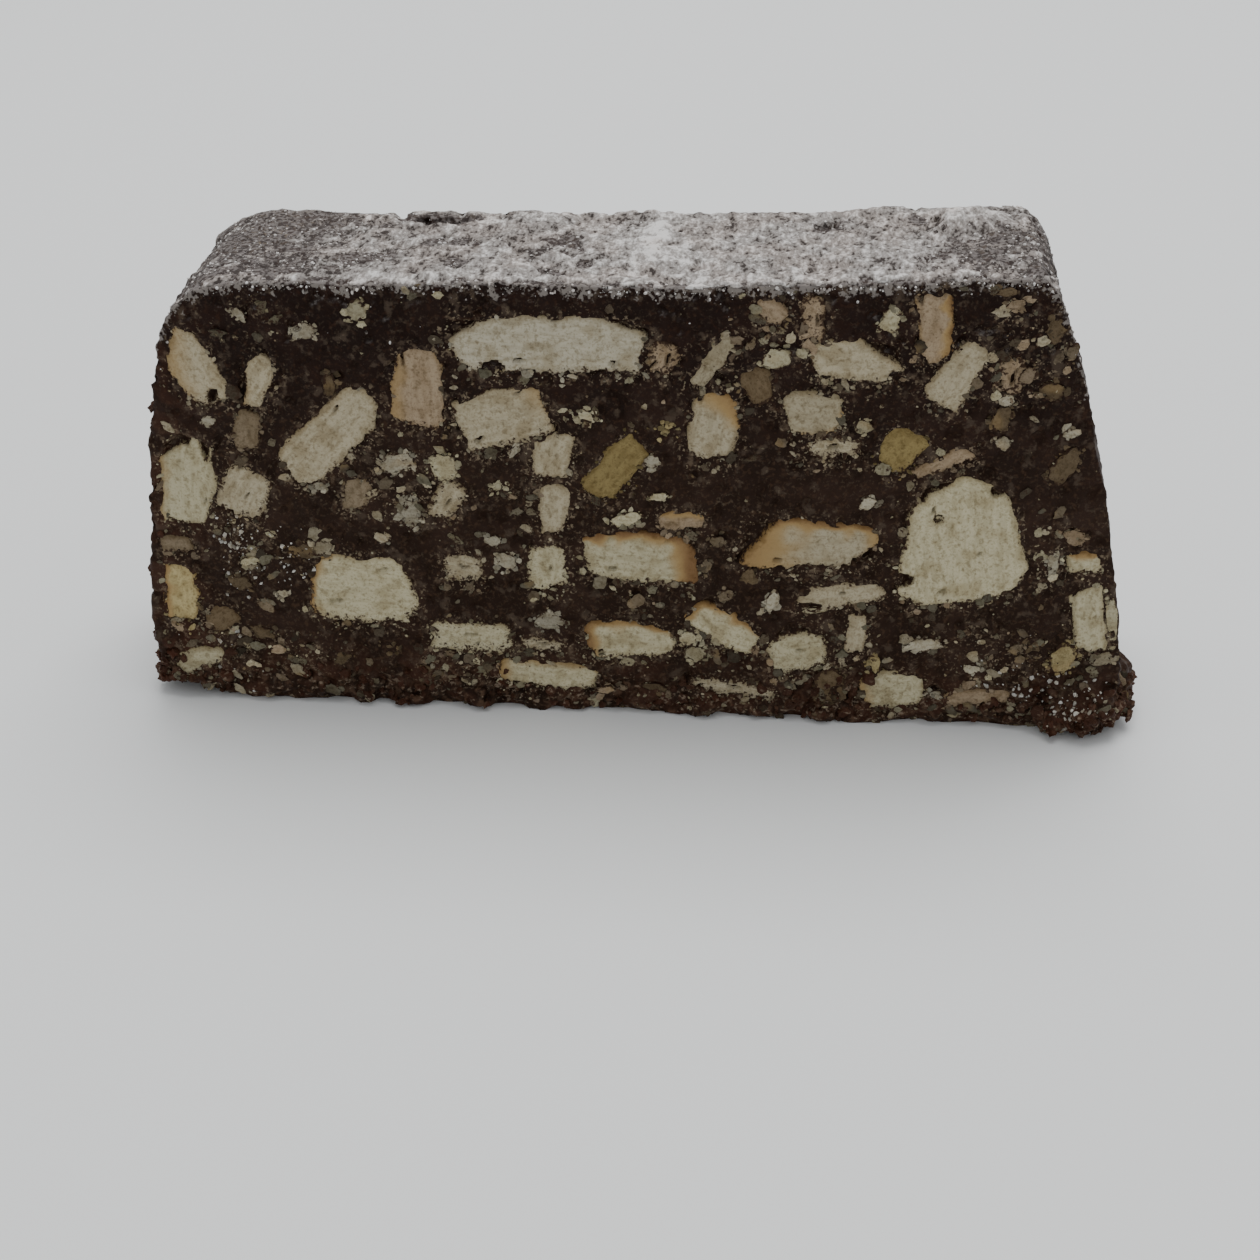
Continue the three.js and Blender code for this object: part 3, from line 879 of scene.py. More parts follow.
def surface_at(x, z, side, margin=FACE_MARGIN):
    """The chocolate's Y at a place on the cut face of that side, or None at its edge or beside it."""
    face = FRONT if side < 0 else BACK
    reach = HEEL_REACH if z < HEEL_TOP else FACE_REACH
    for spot_x, spot_z in ((x + math.copysign(margin, x), z), (x, z + margin), (x, z)):
        start = Vector((spot_x, side * RAY_FROM, spot_z))
        place = loaf_tree.ray_cast(start, Vector((0, -side, 0)), RAY_FROM)[0]
        if place is None or abs(place.y - face) > reach:
            return None
    return place.y


def on_face(places, side, floor=0.0):
    """Numbers and points of the places in X and Z that lie on a cut face, above a floor."""
    numbers = []
    points = []
    for i, (x, z) in enumerate(places):
        surface = surface_at(x, z, side)
        if surface is not None and z > floor:
            numbers.append(i)
            points.append((x, surface, z))
    return numbers, np.array(points).reshape(-1, 3)


class Heap:
    """Crumbs gathered for one piece."""

    def __init__(self):
        self.shapes = []
        self.tones = []
        self.edges = []

    def add(self, shape, tones, edges):
        self.shapes.append(shape)
        self.tones.append(tones)
        self.edges.append(edges)

    def show(self, name):
        """The crumbs as one piece that carries what the biscuit finish reads."""
        points, triangles = joined(self.shapes)
        points[:, 2] = np.maximum(points[:, 2], 0)
        edges = np.concatenate(self.edges)
        piece = show(name, points, triangles, smooth=False)
        keep_tone(piece, np.concatenate(self.tones))
        keep(piece, "layer", "FLOAT_VECTOR", points)
        keep(piece, "toast", "FLOAT", banded(CRUMB_TOAST, uneven(points, *CRUMB_TOAST_NOISE)))
        keep(piece, "edge", "FLOAT", edges)
        keep(piece, "inside", "FLOAT", CRUMB_INSIDE * edges)
        print(name, "has", len(triangles), "triangles")
        return piece


crumb_heap = Heap()
speck_heap = Heap()
print("the middle of the front face lies at y", round(surface_at(0.0, 24.0, -1), 2), "mm")

# %% [markdown]
# ## Bits of biscuit
# The bits large enough to know one by one are listed with place, length, thickness, turn and tone.
# The back gets the same bits, mirrored and moved a little, where no larger piece is in the way.

# %% Bits of biscuit
BITS = [
    (-25.5, 43.0, 2.9, 2.2, 80, "cream"),
    (-30.6, 40.8, 2.9, 2.0, 10, "grey"),
    (-36.5, 42.4, 2.2, 1.1, -40, "grey"),
    (-28.5, 35.4, 3.0, 1.5, 90, "brown"),
    (-40.5, 31.4, 1.8, 1.3, 0, "grey"),
    (-21.5, 22.0, 3.8, 2.7, 80, "grey"),
    (-22.6, 27.6, 4.0, 2.7, 20, "grey"),
    (-18.2, 27.4, 3.7, 3.2, 40, "cream"),
    (-30.3, 24.6, 1.8, 1.5, 0, "grey"),
    (-13.0, 25.4, 2.6, 1.4, 30, "cream"),
    (-11.2, 29.2, 1.7, 1.0, 55, "grey"),
    (-4.7, 33.1, 3.7, 1.9, -12, "cream"),
    (3.0, 31.8, 3.0, 1.8, 0, "amber"),
    (13.2, 39.6, 2.9, 2.5, 0, "cream"),
    (15.6, 40.2, 1.6, 1.3, -30, "cream"),
    (1.9, 28.6, 1.8, 1.7, 0, "grey"),
    (2.6, 24.9, 2.4, 1.0, 10, "cream"),
    (-0.5, 22.3, 3.7, 1.8, 15, "cream"),
    (23.4, 43.5, 2.9, 2.2, 60, "cream"),
    (34.2, 34.2, 3.0, 2.0, 80, "brown"),
    (34.6, 31.8, 1.8, 1.6, 0, "grey"),
    (38.3, 43.0, 3.0, 2.0, 85, "brown"),
    (38.6, 37.2, 2.8, 1.9, 0, "brown"),
    (40.6, 29.6, 4.6, 2.6, 60, "brown"),
    (21.6, 32.9, 2.0, 1.7, 0, "cream"),
    (33.5, 46.6, 2.5, 1.0, 0, "brown"),
    (40.8, 33.0, 2.0, 1.2, 10, "grey"),
    (22.5, 24.9, 2.2, 1.5, 20, "grey"),
    (-32.4, 17.5, 3.0, 2.4, 0, "brown"),
    (-31.0, 13.8, 1.8, 1.2, 0, "grey"),
    (-37.5, 7.8, 3.0, 1.5, -20, "brown"),
    (-39.2, 13.6, 2.6, 2.0, 0, "brown"),
    (-38.0, 16.2, 2.4, 1.2, 10, "cream"),
    (-35.2, 12.4, 1.8, 1.2, 30, "grey"),
    (-12.3, 17.2, 2.4, 2.1, 0, "grey"),
    (-13.6, 19.4, 2.2, 1.4, 0, "grey"),
    (-8.3, 10.4, 3.6, 2.4, 0, "grey"),
    (6.4, 7.4, 2.6, 2.6, 0, "cream"),
    (13.8, 13.7, 3.2, 1.4, 70, "grey"),
    (11.4, 16.6, 2.0, 1.4, 80, "brown"),
    (19.8, 4.2, 5.0, 3.2, 75, "brown"),
    (24.2, 6.7, 2.6, 1.9, 80, "amber"),
    (29.0, 9.4, 4.8, 1.8, 8, "grey"),
    (34.0, 6.8, 2.0, 1.4, 0, "grey"),
    (42.7, 8.4, 4.0, 3.2, 85, "amber"),
    (39.4, 9.2, 2.8, 2.4, 0, "brown"),
    (42.4, 22.0, 2.7, 1.9, -10, "tan"),
    (40.6, 19.2, 2.8, 1.5, 85, "grey"),
    (18.0, 12.8, 2.8, 0.8, 5, "cream"),
    (47.0, 12.8, 6.4, 1.5, 98, "cream"),
    (46.9, 8.6, 3.0, 1.8, 20, "dull"),
    (-24.6, 6.6, 2.6, 1.6, -20, "brown"),
    (-29.4, 5.0, 2.4, 1.4, 20, "brown"),
    (-20.6, 4.0, 2.6, 1.2, -15, "brown"),
    (2.4, 3.0, 3.0, 1.2, -10, "brown"),
    (-2.6, 2.6, 2.4, 1.0, 10, "tan"),
    (30.4, 3.4, 2.2, 1.0, 10, "grey"),
    (8.3, 20.2, 1.8, 1.5, 0, "clay"),
    (7.3, 17.4, 2.0, 1.2, 80, "clay"),
    (9.2, 14.2, 2.2, 1.5, 30, "clay"),
    (5.6, 9.2, 2.2, 1.9, 0, "cream"),
    (36.2, 38.6, 2.2, 1.6, 60, "tan"),
    (34.6, 36.0, 1.8, 1.4, 0, "grey"),
    (40.0, 41.0, 2.0, 1.3, 80, "clay"),
    (34.5, 45.4, 2.0, 1.2, 20, "tan"),
    (-30.6, 18.0, 2.4, 1.8, 20, "dull"),
    (-24.6, 19.4, 1.8, 1.2, -20, "grey"),
    (-12.9, 16.6, 1.9, 1.7, 0, "grey"),
    (-36.8, 11.0, 2.2, 1.3, -30, "clay"),
    (38.0, 9.4, 2.0, 1.3, 30, "clay"),
    (33.8, 5.0, 2.0, 1.3, 20, "tan"),
]
BIT_MOVE_ACROSS = 2
BIT_MOVE_UP = 1.5
BIT_MARGIN = 0.1
BIT_HALF_DEPTH = 0.8
BIT_CORE = (0.8, 1, 0.8)
BIT_DENT = 0.4
BIT_SEED = 63
BIT_PROUD = 0.14
BIT_SHADES = (0.6, 1.0)
BIT_EDGE = 1.1
BIT_DETAIL = 3
Bit = namedtuple("Bit", "x z long thick turn tone side")

wanted_bits = [Bit(x + LOAF_SHIFT, *row, -1) for x, *row in BITS]
for x, z, *form in BITS:
    moved_x = -x + draw.uniform(-BIT_MOVE_ACROSS, BIT_MOVE_ACROSS)
    moved_z = z + draw.uniform(-BIT_MOVE_UP, BIT_MOVE_UP)
    if biscuit_depth(np.array([(moved_x, 0.0, moved_z)]), 1)[0] < 0:
        wanted_bits.append(Bit(moved_x, moved_z, *form, 1))
bits = []
bit_centres = []
for bit in wanted_bits:
    surface = surface_at(bit.x, bit.z, bit.side, BIT_MARGIN)
    if surface is not None:
        bit_centres.append((bit.x, surface, bit.z))
        bits.append(bit)
bit_sizes = np.array([(bit.long / 2, BIT_HALF_DEPTH, bit.thick / 2) for bit in bits]) * BIT_CORE
bit_turns = np.array([bit.turn for bit in bits])
bit_shapes = lumps(BIT_DETAIL, np.array(bit_centres), bit_sizes, bit_turns, BIT_DENT, BIT_SEED, BIT_PROUD)
bit_tones = np.array([TONES[bit.tone] for bit in bits]) * draw.uniform(*BIT_SHADES, (len(bits), 1))
bit_edges = np.tile(BIT_EDGE * np.abs(BALLS[BIT_DETAIL][0][:, 1]), len(bits))
crumb_heap.add(bit_shapes, per_point(bit_tones, BIT_DETAIL), bit_edges)
print("bits of biscuit:", len(bits))

# %% [markdown]
# ## Crumbs round the bits
# A bit broke up where the knife met it, so crumbs of its own tone lie over it and round it.
# They are drawn at random from a fixed seed, evenly over an ellipse a little larger than the bit.

# %% Crumbs round the bits
CRUMBS_PER_AREA = 3.4
BIT_CRUMB_REACH = (0.1, 1.15)
BIT_CRUMB_SIZE = (0.1, 0.34, 1.6)
BIT_CRUMB_SHADES = (0.35, 0.95)
CRUMB_LEAST = (0.8, 0.6, 0.6)
CRUMB_MOST = (1.5, 0.9, 1.2)
CRUMB_TURN = 60
CRUMB_DENT = 0.5
CRUMB_SEED = 65
CRUMB_PROUD = 0.12
CRUMB_EDGES = (0.25, 1.1)
CRUMB_FLOOR = 0.5


def scatter(places, side, tones, size, shades):
    """Small crumbs at places on a cut face, each with a tone darkened by chance."""
    numbers, found = on_face(places, side, CRUMB_FLOOR)
    count = len(found)
    sizes = ball_sizes(count, size, CRUMB_LEAST, CRUMB_MOST)[1]
    colours = np.array(tones)[numbers] * draw.uniform(*shades, (count, 1))
    turns = draw.uniform(-CRUMB_TURN, CRUMB_TURN, count)
    shapes = lumps(1, found, sizes, turns, CRUMB_DENT, CRUMB_SEED, CRUMB_PROUD)
    edges = draw.uniform(*CRUMB_EDGES, count)
    crumb_heap.add(shapes, per_point(colours, 1), per_point(edges, 1))
    return count


for side in (-1, 1):
    places = []
    tones = []
    for bit in bits:
        if bit.side == side:
            count = int(CRUMBS_PER_AREA * bit.long * bit.thick)
            away = np.sqrt(draw.uniform(*BIT_CRUMB_REACH, count))
            angle = draw.uniform(0, 2 * math.pi, count)
            half = np.array((bit.long, bit.thick)) / 2
            local = np.stack([np.cos(angle), np.sin(angle)], axis=1) * away[:, None] * half
            cosine, sine = math.cos(math.radians(bit.turn)), math.sin(math.radians(bit.turn))
            places.append(local @ np.array(((cosine, sine), (-sine, cosine))) + (bit.x, bit.z))
            tones += [TONES[bit.tone]] * count
    made = scatter(np.concatenate(places), side, tones, BIT_CRUMB_SIZE, BIT_CRUMB_SHADES)
    print("crumbs round the bits:", made)

# %% [markdown]
# ## Crumbs torn from the pieces
# The knife tears crumbs from the edges of the larger pieces, most from the lower ones.
# Each crumb starts at a place on an edge of the outline and drops a little away from it.

# %% Crumbs torn from the pieces
CRUMBS_PER_MM = 2.5
TORN_DROP = 0.42
TORN_BACK = 0.15
TORN_FALL = 0.4
TORN_BESIDE = 0.45
TORN_BY_FACING = 0.4
TORN_SIZE = (0.08, 0.3, 2.6)
TORN_SHADES = (0.3, 0.95)


def outline_edges(name, face):
    """Ends and outward ways in X and Z of the straight edges of a piece's outline on a cut face."""
    points, triangles = cad[name]
    corners = points[triangles]
    out = unit(face_normals(points, triangles))
    at_face = np.abs(corners[:, :, 1] - face) < ON_FACE
    chosen = (np.abs(out[:, 1]) < SIDE_FACING) & (at_face.sum(1) == 2)
    ends = corners[chosen][at_face[chosen]].reshape(-1, 2, 3)[:, :, [0, 2]]
    return ends, unit(out[chosen][:, [0, 2]], LEAST_SIDEWAYS)


for side, face in FACES:
    places = []
    tones = []
    for name in biscuit_names:
        ends, ways = outline_edges(name, face)
        if not len(ends):
            continue
        piece_number = number_of(name)
        length = np.linalg.norm(ends[:, 1] - ends[:, 0], axis=1)
        weight = length * (TORN_BESIDE - TORN_BY_FACING * ways[:, 1])
        count = int(CRUMBS_PER_MM * weight.sum() * CRUMBLY.get(piece_number, 1.0))
        picked = draw.choice(len(ends), count, p=weight / weight.sum())
        along = draw.random((count, 1))
        drop = draw.exponential(TORN_DROP, (count, 1)) - TORN_BACK
        fallen = ends[picked, 0] * (1 - along) + ends[picked, 1] * along + ways[picked] * drop
        fallen[:, 1] -= TORN_FALL * np.maximum(drop[:, 0], 0)
        flat = np.stack([fallen[:, 0], np.full(count, face), fallen[:, 1]], axis=1)
        places.append(fallen + warp(flat)[:, [0, 2]])
        tones += [TONES[tone_by_number.get(piece_number, "cream")]] * count
    made = scatter(np.concatenate(places), side, tones, TORN_SIZE, TORN_SHADES)
    print("crumbs torn from the pieces:", made)
crumbs = crumb_heap.show("biscuit_crumbs")

# %% [markdown]
# ## Specks
# Finer specks lie everywhere, thickest below the biscuits, in the patches and towards the foot.
# Many places are tried, and each is kept by a chance that rises where specks collect.
# Only the larger specks get balls with more faces.

# %% Specks
SPECK_TRIES = 11000
SPECK_LEAST = 0.08
SPECK_SPREAD = 0.5
SPECK_POWER = 3.0
SPECK_PATCH_POWER = 1.2
SPECK_DROP = 0.9
SPECK_MOST = (1.7, 0.9, 1.2)
SPECK_PROUD = 0.11
SPECK_EDGES = (0.3, 1.0)
SPECK_LARGE = 0.27
SPECK_CLEAR = 0.25
SPECK_CHANCE = 0.07
SPECK_FOOT = (0.3, 10, 4)
SPECK_CORNER = (0.5, 36, 45)
SPECK_CORNER_HEIGHTS = (10, 5)
SPECK_BELOW = 0.95
SPECK_EVEN = 0.3
SPECK_UNEVEN = (0.8, -0.35, 0.45)
SPECK_IN_PATCH = 0.6
SHADE_LEAST = 0.2
SHADE_SPREAD = 0.6
SHADE_IN_PATCH = 0.4
SHADE_POWER = 1.5
SPECK_NOISE = (4.5, 61)
SPECK_TONES = np.array([TONES[tone] for tone in ("dull", "cream", "tan", "dull", "clay")])


def speck_places(side, tries):
    """Places on a cut face where crumbs collect, clear of the biscuits."""
    low, high = cad["chocolate"][0].min(0), cad["chocolate"][0].max(0)
    places = draw.uniform(low, high, (tries, 3))
    low_corner = banded(SPECK_CORNER, np.abs(places[:, 0])) * ease(*SPECK_CORNER_HEIGHTS, places[:, 2])
    chance = SPECK_CHANCE + banded(SPECK_FOOT, places[:, 2]) + low_corner
    dropped = places.copy()
    dropped[:, 2] += draw.exponential(SPECK_DROP, tries)
    chance = np.maximum(chance, SPECK_BELOW * (biscuit_depth(dropped, side) >= 0))
    chance *= SPECK_EVEN + banded(SPECK_UNEVEN, uneven(places, *SPECK_NOISE))
    chance = np.maximum(chance, SPECK_IN_PATCH * patch_share(places, side))
    clear = biscuit_depth(places, side) < SPECK_CLEAR
    kept = places[(draw.random(tries) < chance) & clear]
    return on_face(kept[:, [0, 2]], side)[1]


for side in (-1, 1):
    places = speck_places(side, SPECK_TRIES)
    count = len(places)
    patchy = patch_share(places, side)
    radius = SPECK_LEAST + SPECK_SPREAD * draw.random(count) ** (SPECK_POWER - SPECK_PATCH_POWER * patchy)
    shade = SHADE_LEAST + (SHADE_SPREAD + SHADE_IN_PATCH * patchy) * draw.random(count) ** SHADE_POWER
    tones = SPECK_TONES[draw.integers(0, len(SPECK_TONES), count)] * shade[:, None]
    stretch = draw.uniform(CRUMB_LEAST, SPECK_MOST, (count, 3))
    turns = draw.uniform(-CRUMB_TURN, CRUMB_TURN, count)
    for detail, chosen in by_size(radius, SPECK_LARGE):
        sizes = radius[chosen, None] * stretch[chosen]
        shapes = lumps(detail, places[chosen], sizes, turns[chosen], CRUMB_DENT, CRUMB_SEED, SPECK_PROUD)
        edges = draw.uniform(*SPECK_EDGES, chosen.sum())
        speck_heap.add(shapes, per_point(tones[chosen], detail), per_point(edges, detail))
    print("specks on side", side, ":", count)

# %% [markdown]
# ## Bright grains and painted glints
# At the left end and at the heel lie small pale grains, partly real pale crumbs and partly painted glints.
# Each row gives the middle of a cluster, its width and height, and how many grains it has.

# %% Bright grains
# A pale colour that is partly crumb and partly painted highlight.
PALE_GRAIN_AND_GLINT = (0.74, 0.72, 0.67)
BRIGHT_FLOOR = 0.3
BRIGHT_SIZE = (0.06, 0.2, 1.8)
BRIGHT_STRETCH = (0.6, 1.4)
BRIGHT_SHADES = (0.5, 1.0)
BRIGHT_SEED = 69
BRIGHT_EDGE = 3.0
SPARKLES = [
    (-39.8, 17.6, 2.0, 5.0, 60),
    (-35.4, 16.6, 6.0, 5.0, 64),
    (44.0, 3.0, 5.0, 3.6, 90),
    (39.0, 5.0, 7.0, 4.0, 50),
    (-43.0, 5.0, 5.0, 5.0, 24),
]
sparkle_places = []
for x, z, wide, tall, count in SPARKLES:
    cluster = draw.normal((x, z), (wide / 2, tall / 2), (count, 2))
    sparkle_places.append(on_face(cluster, -1, BRIGHT_FLOOR)[1])
sparkle_places = np.concatenate(sparkle_places)
count = len(sparkle_places)
sparkle_sizes = ball_sizes(count, BRIGHT_SIZE, *BRIGHT_STRETCH)[1]
sparkle_turns = draw.uniform(-CRUMB_TURN, CRUMB_TURN, count)
# Their pale tone is partly painted glints.
sparkle_tones = np.array(PALE_GRAIN_AND_GLINT) * draw.uniform(*BRIGHT_SHADES, (count, 1))
sparkle_shapes = lumps(1, sparkle_places, sparkle_sizes, sparkle_turns, CRUMB_DENT, BRIGHT_SEED)
speck_heap.add(sparkle_shapes, per_point(sparkle_tones, 1), per_point(np.full(count, BRIGHT_EDGE), 1))
print("bright grains:", count)
specks = speck_heap.show("biscuit_specks")

# %% [markdown]
# ## How thick the sugar lies
# Sugar sifted over the top lies as a thin film that is broken by dark pits and heaped in places.
# Noise takes its thickness above and below zero; where it is below zero the chocolate shows.
# It is heaped in two smears and along the front edge, thin at both ends and in bare spots, and gone from a
# groove at the back, where the bare dark chocolate paints the shade in it.

# %% Sugar thickness
FILM_MEAN = 0.12
FILM_BROAD = ((0.06, 5.0, 71), (0.07, 1.7, 72))
FILM_FINE = ((0.07, 0.85, 73), (0.05, 0.5, 74))
SMEARS = [(1.2, 2.5, 2.0, 6.5, 0.36), (31.0, 6.5, 6.0, 3.5, 0.22)]
SMEAR_FADE = (1.3, 0.0)
SMEAR_WAVES = ((0.4, 2.2, 77),)
RIGHT_END = (0.13, 20, 34)
LEFT_END = (0.17, -18, -36)
SLOPE = (0.16, 43, 38.5)
FRONT_HEAP = (0.14, FRONT + 3.0, FRONT + 0.8)
FRONT_GAPS = (0.42, FRONT + 2.2, FRONT + 0.3)
FRONT_GAP_LEVELS = (-0.35, 0.4)
FRONT_GAP_NOISE = (1.6, 76)
BARE_SPOTS = [
    (-26, -3, 1.6),
    (-18.6, 1.2, 2.2),
    (-17, -4, 1.2),
    (-10, -1, 1.3),
    (-7.4, 1.5, 2.2),
    (-8, -5.5, 1.2),
    (-5.0, -3.4, 1.0),
    (17.6, 5.8, 1.9),
    (26.4, 6.0, 1.5),
    (32.5, -3.6, 1.1),
    (36.0, -7.0, 1.4),
]
BARE = (0.27, 1.4, 0.1)
BARE_WAVES = ((0.7, 1.5, 78),)
GROOVE = (-20.4, 8.0, 4.3, 1.5)
# How much sugar the groove loses, so that bare chocolate paints its shade.
GROOVE_PAINTED_SHADE = (0.5, 1.1, 0.8)


def film_thickness(points):
    """How thick the sugar lies, in millimetres; below zero there is none."""
    x, y, z = points.T
    thick = waves(points, FILM_BROAD, FILM_MEAN)
    thick += waves(points, FILM_FINE)
    smear_edge = waves(points, SMEAR_WAVES)
    for smear_x, smear_y, wide, deep, heap in SMEARS:
        away = np.hypot((x - smear_x) / wide, (y - smear_y) / deep) + smear_edge
        thick += heap * ease(*SMEAR_FADE, away)
    thick -= banded(RIGHT_END, x) + banded(LEFT_END, x) + banded(SLOPE, z)
    thick += banded(FRONT_HEAP, y)
    thick -= banded(FRONT_GAPS, y) * ease(*FRONT_GAP_LEVELS, uneven(points, *FRONT_GAP_NOISE))
    bare_edge = waves(points, BARE_WAVES)
    for spot_x, spot_y, radius in BARE_SPOTS:
        thick -= banded(BARE, np.hypot(x - spot_x, y - spot_y) / radius + bare_edge)
    groove_x, groove_y, wide, deep = GROOVE
    # Painted shade: no sugar lies in the groove, so its dark chocolate stands in for the shade there.
    thick -= banded(GROOVE_PAINTED_SHADE, np.hypot((x - groove_x) / wide, (y - groove_y) / deep))
    return thick


print("sugar heaped in", len(SMEARS), "smears and bare in", len(BARE_SPOTS), "spots")


# %% [markdown]
# ## Sugar slipped over the rims
# Along both cuts some sugar has slipped over the rim of the top and clings to the chocolate.
# The chocolate stores how near below the rim each point is, as a frost that its finish breaks up.

# %% Frost on the rims
TOP_FROM = 36.0
RAY_ABOVE = 80.0
RIM_STEP = 0.5
RIM_ENDS = (-46.0, 42.0)
RIM_INSET = 0.8
RIM_DROP = 2.0
NO_RIM = 99.0


def top_at(x, y):
    """Place and normal of the slice's top at a spot, or None beside it."""
    place, normal, face, gap = loaf_tree.ray_cast(Vector((x, y, RAY_ABOVE)), Vector((0, 0, -1)), RAY_ABOVE)
    return None if place is None or place.z < TOP_FROM else (place, normal)


frost = np.zeros(len(loaf))
for side, face in FACES:
    rims = [top_at(x, face - RIM_INSET * side) for x in np.arange(*RIM_ENDS, RIM_STEP)]
    spots = np.array([(rim[0].x, rim[0].z) for rim in rims if rim])
    rim_z = np.interp(loaf[:, 0], *spots.T, left=NO_RIM, right=NO_RIM)
    near_rim = ease(RIM_DROP, 0, rim_z - loaf[:, 2]) * (np.abs(loaf[:, 1] - face) < CUT_REACH)
    frost = np.maximum(frost, near_rim)
keep(chocolate, "frost", "FLOAT", frost)
print("frost on", (frost > 0).sum(), "points of the chocolate")

# %% [markdown]
# ## The sugar film
# A grid is dropped on the top and lifted by the thickness of the sugar there.
# Steep places hold little sugar, and cells with none at all or with a step in them are left out.
# The film has an underside and walls along its edges, so it is a closed thin body.

# %% Sugar film
FILM_STEP = 0.25
FILM_ENDS = (-48.0, 44.0)
FILM_OVERHANG = 0.4
FILM_FACING = 0.25
STEEP_TO_FLAT = (0.3, 0.7)
STEEP_LOSS = 0.08
FILM_UNDER = 0.3
FILM_LEAST = -0.04
FILM_STEEPEST = 0.6


def four_corners(values):
    """The values at the four corners of every cell of the grid."""
    return np.stack([values[:-1, :-1], values[1:, :-1], values[1:, 1:], values[:-1, 1:]])


columns = np.arange(*FILM_ENDS, FILM_STEP)
rows = np.arange(FRONT - FILM_OVERHANG, BACK + FILM_OVERHANG, FILM_STEP)
ground = np.zeros((len(columns), len(rows), 3))
lift = np.zeros((len(columns), len(rows), 3))
lying = np.zeros((len(columns), len(rows)), bool)
for i, x in enumerate(columns):
    for j, y in enumerate(rows):
        found = top_at(x, y)
        if found:
            ground[i, j] = found[0]
            lift[i, j] = found[1]
            lying[i, j] = found[1].z > FILM_FACING
thickness = film_thickness(ground.reshape(-1, 3)).reshape(lying.shape)
flatness = ease(*STEEP_TO_FLAT, lift[..., 2])
thickness = thickness * flatness - STEEP_LOSS * (1 - flatness)
covered = four_corners(lying).all(0)
covered &= four_corners(thickness).max(0) > FILM_LEAST
covered &= np.ptp(four_corners(ground[..., 2]), axis=0) < FILM_STEEPEST
cells = four_corners(np.arange(lying.size).reshape(lying.shape))[:, covered].T
used, quads = np.unique(cells, return_inverse=True)
quads = quads.reshape(-1, 4)
upper = (ground + lift * thickness[..., None]).reshape(-1, 3)[used]
under = (ground - lift * FILM_UNDER).reshape(-1, 3)[used]
edges = np.concatenate([quads[:, [i, (i + 1) % 4]] for i in range(4)])
code = edges[:, 0] * len(used) + edges[:, 1]
a, b = edges[~np.isin(edges[:, 1] * len(used) + edges[:, 0], code)].T
top_faces = np.concatenate([quads[:, [0, 1, 2]], quads[:, [0, 2, 3]]])
under_faces = top_faces[:, ::-1] + len(used)
walls = np.concatenate(
    [np.stack([b, a, a + len(used)], axis=1), np.stack([b, a + len(used), b + len(used)], axis=1)]
)
film_faces = np.concatenate([top_faces, under_faces, walls])
film = show("sugar_film", np.concatenate([upper, under]), film_faces)
film_depth = thickness.reshape(-1)[used]
keep(film, "depth", "FLOAT", np.concatenate([film_depth, film_depth]))
print("sugar film:", len(film_faces), "triangles")

# %% [markdown]
# ## Sugar grains
# Loose grains lie all over the top, and some have slipped down over the front edge.
# They are tiny dented balls, from grey to white.

# %% Sugar grains
GRAIN_TRIES = 4200
GRAIN_CORNERS = ((-45, FRONT - 0.3), (42, BACK))
EDGE_GRAINS = 260
EDGE_ENDS = (-40, 38)
EDGE_INSET = 0.8
EDGE_SLIP = 0.22
EDGE_DROP = 0.3
GRAIN_SIZE = (0.04, 0.15, 2.5)
SUGAR_STRETCH = (0.7, 1.3)
GRAIN_DENT = 0.3
GRAIN_SEED = 75
GRAIN_WHITENESS = (-0.02, 0.5)
grain_places = []
for x, y in draw.uniform(*GRAIN_CORNERS, (GRAIN_TRIES, 2)):
    found = top_at(x, y)
    if found:
        grain_places.append(found[0])
for x, slip in zip(draw.uniform(*EDGE_ENDS, EDGE_GRAINS), draw.exponential(EDGE_SLIP, EDGE_GRAINS)):
    edge = top_at(x, FRONT + EDGE_INSET)
    if edge:
        z = edge[0].z - EDGE_DROP - slip
        surface = surface_at(x, z, -1, 0.0)
        if surface is not None:
            grain_places.append(Vector((x, surface, z)))
grain_places = np.array(grain_places)
count = len(grain_places)
grain_sizes = ball_sizes(count, GRAIN_SIZE, *SUGAR_STRETCH)[1]
grain_points, grain_faces = lumps(1, grain_places, grain_sizes, np.zeros(count), GRAIN_DENT, GRAIN_SEED)
grains = show("sugar_grains", grain_points, grain_faces, smooth=False)
keep(grains, "depth", "FLOAT", per_point(draw.uniform(*GRAIN_WHITENESS, count), 1))
print("sugar grains:", count)

# %% [markdown]
# ## Cocoa crumbs
# Along the foot and at the heel the chocolate has crumbled into small reddish-brown grains.
# They lie on the chocolate's own surface in drifts, thickest at the two lower corners.
# Each crumb picks a face of the chocolate, by its area and by how much is wanted there.

# %% Cocoa crumbs
COCOA_COUNT = 1700
COCOA_HEIGHTS = (6.5, 1.0)
COCOA_FLOOR = 0.35
COCOA_CORNERS = (0.7, 38, 46)
COCOA_DRIFTS = (0.75, -0.3, 0.4)
COCOA_NOISE = (6.0, 82)
COCOA_SIZE = (0.12, 0.46, 2.0)
COCOA_LEAST = 0.3
COCOA_BETWEEN = 0.25
COCOA_LEFT = 0.015
COCOA_LEFT_FROM = -43
COCOA_LEFT_TOP = 34
COCOA_STRETCH = (0.6, 1.4)
COCOA_LIFT = 1.5
COCOA_TURN = 180
COCOA_LARGE = 0.26
COCOA_DENT = 0.55
COCOA_SEED = 81

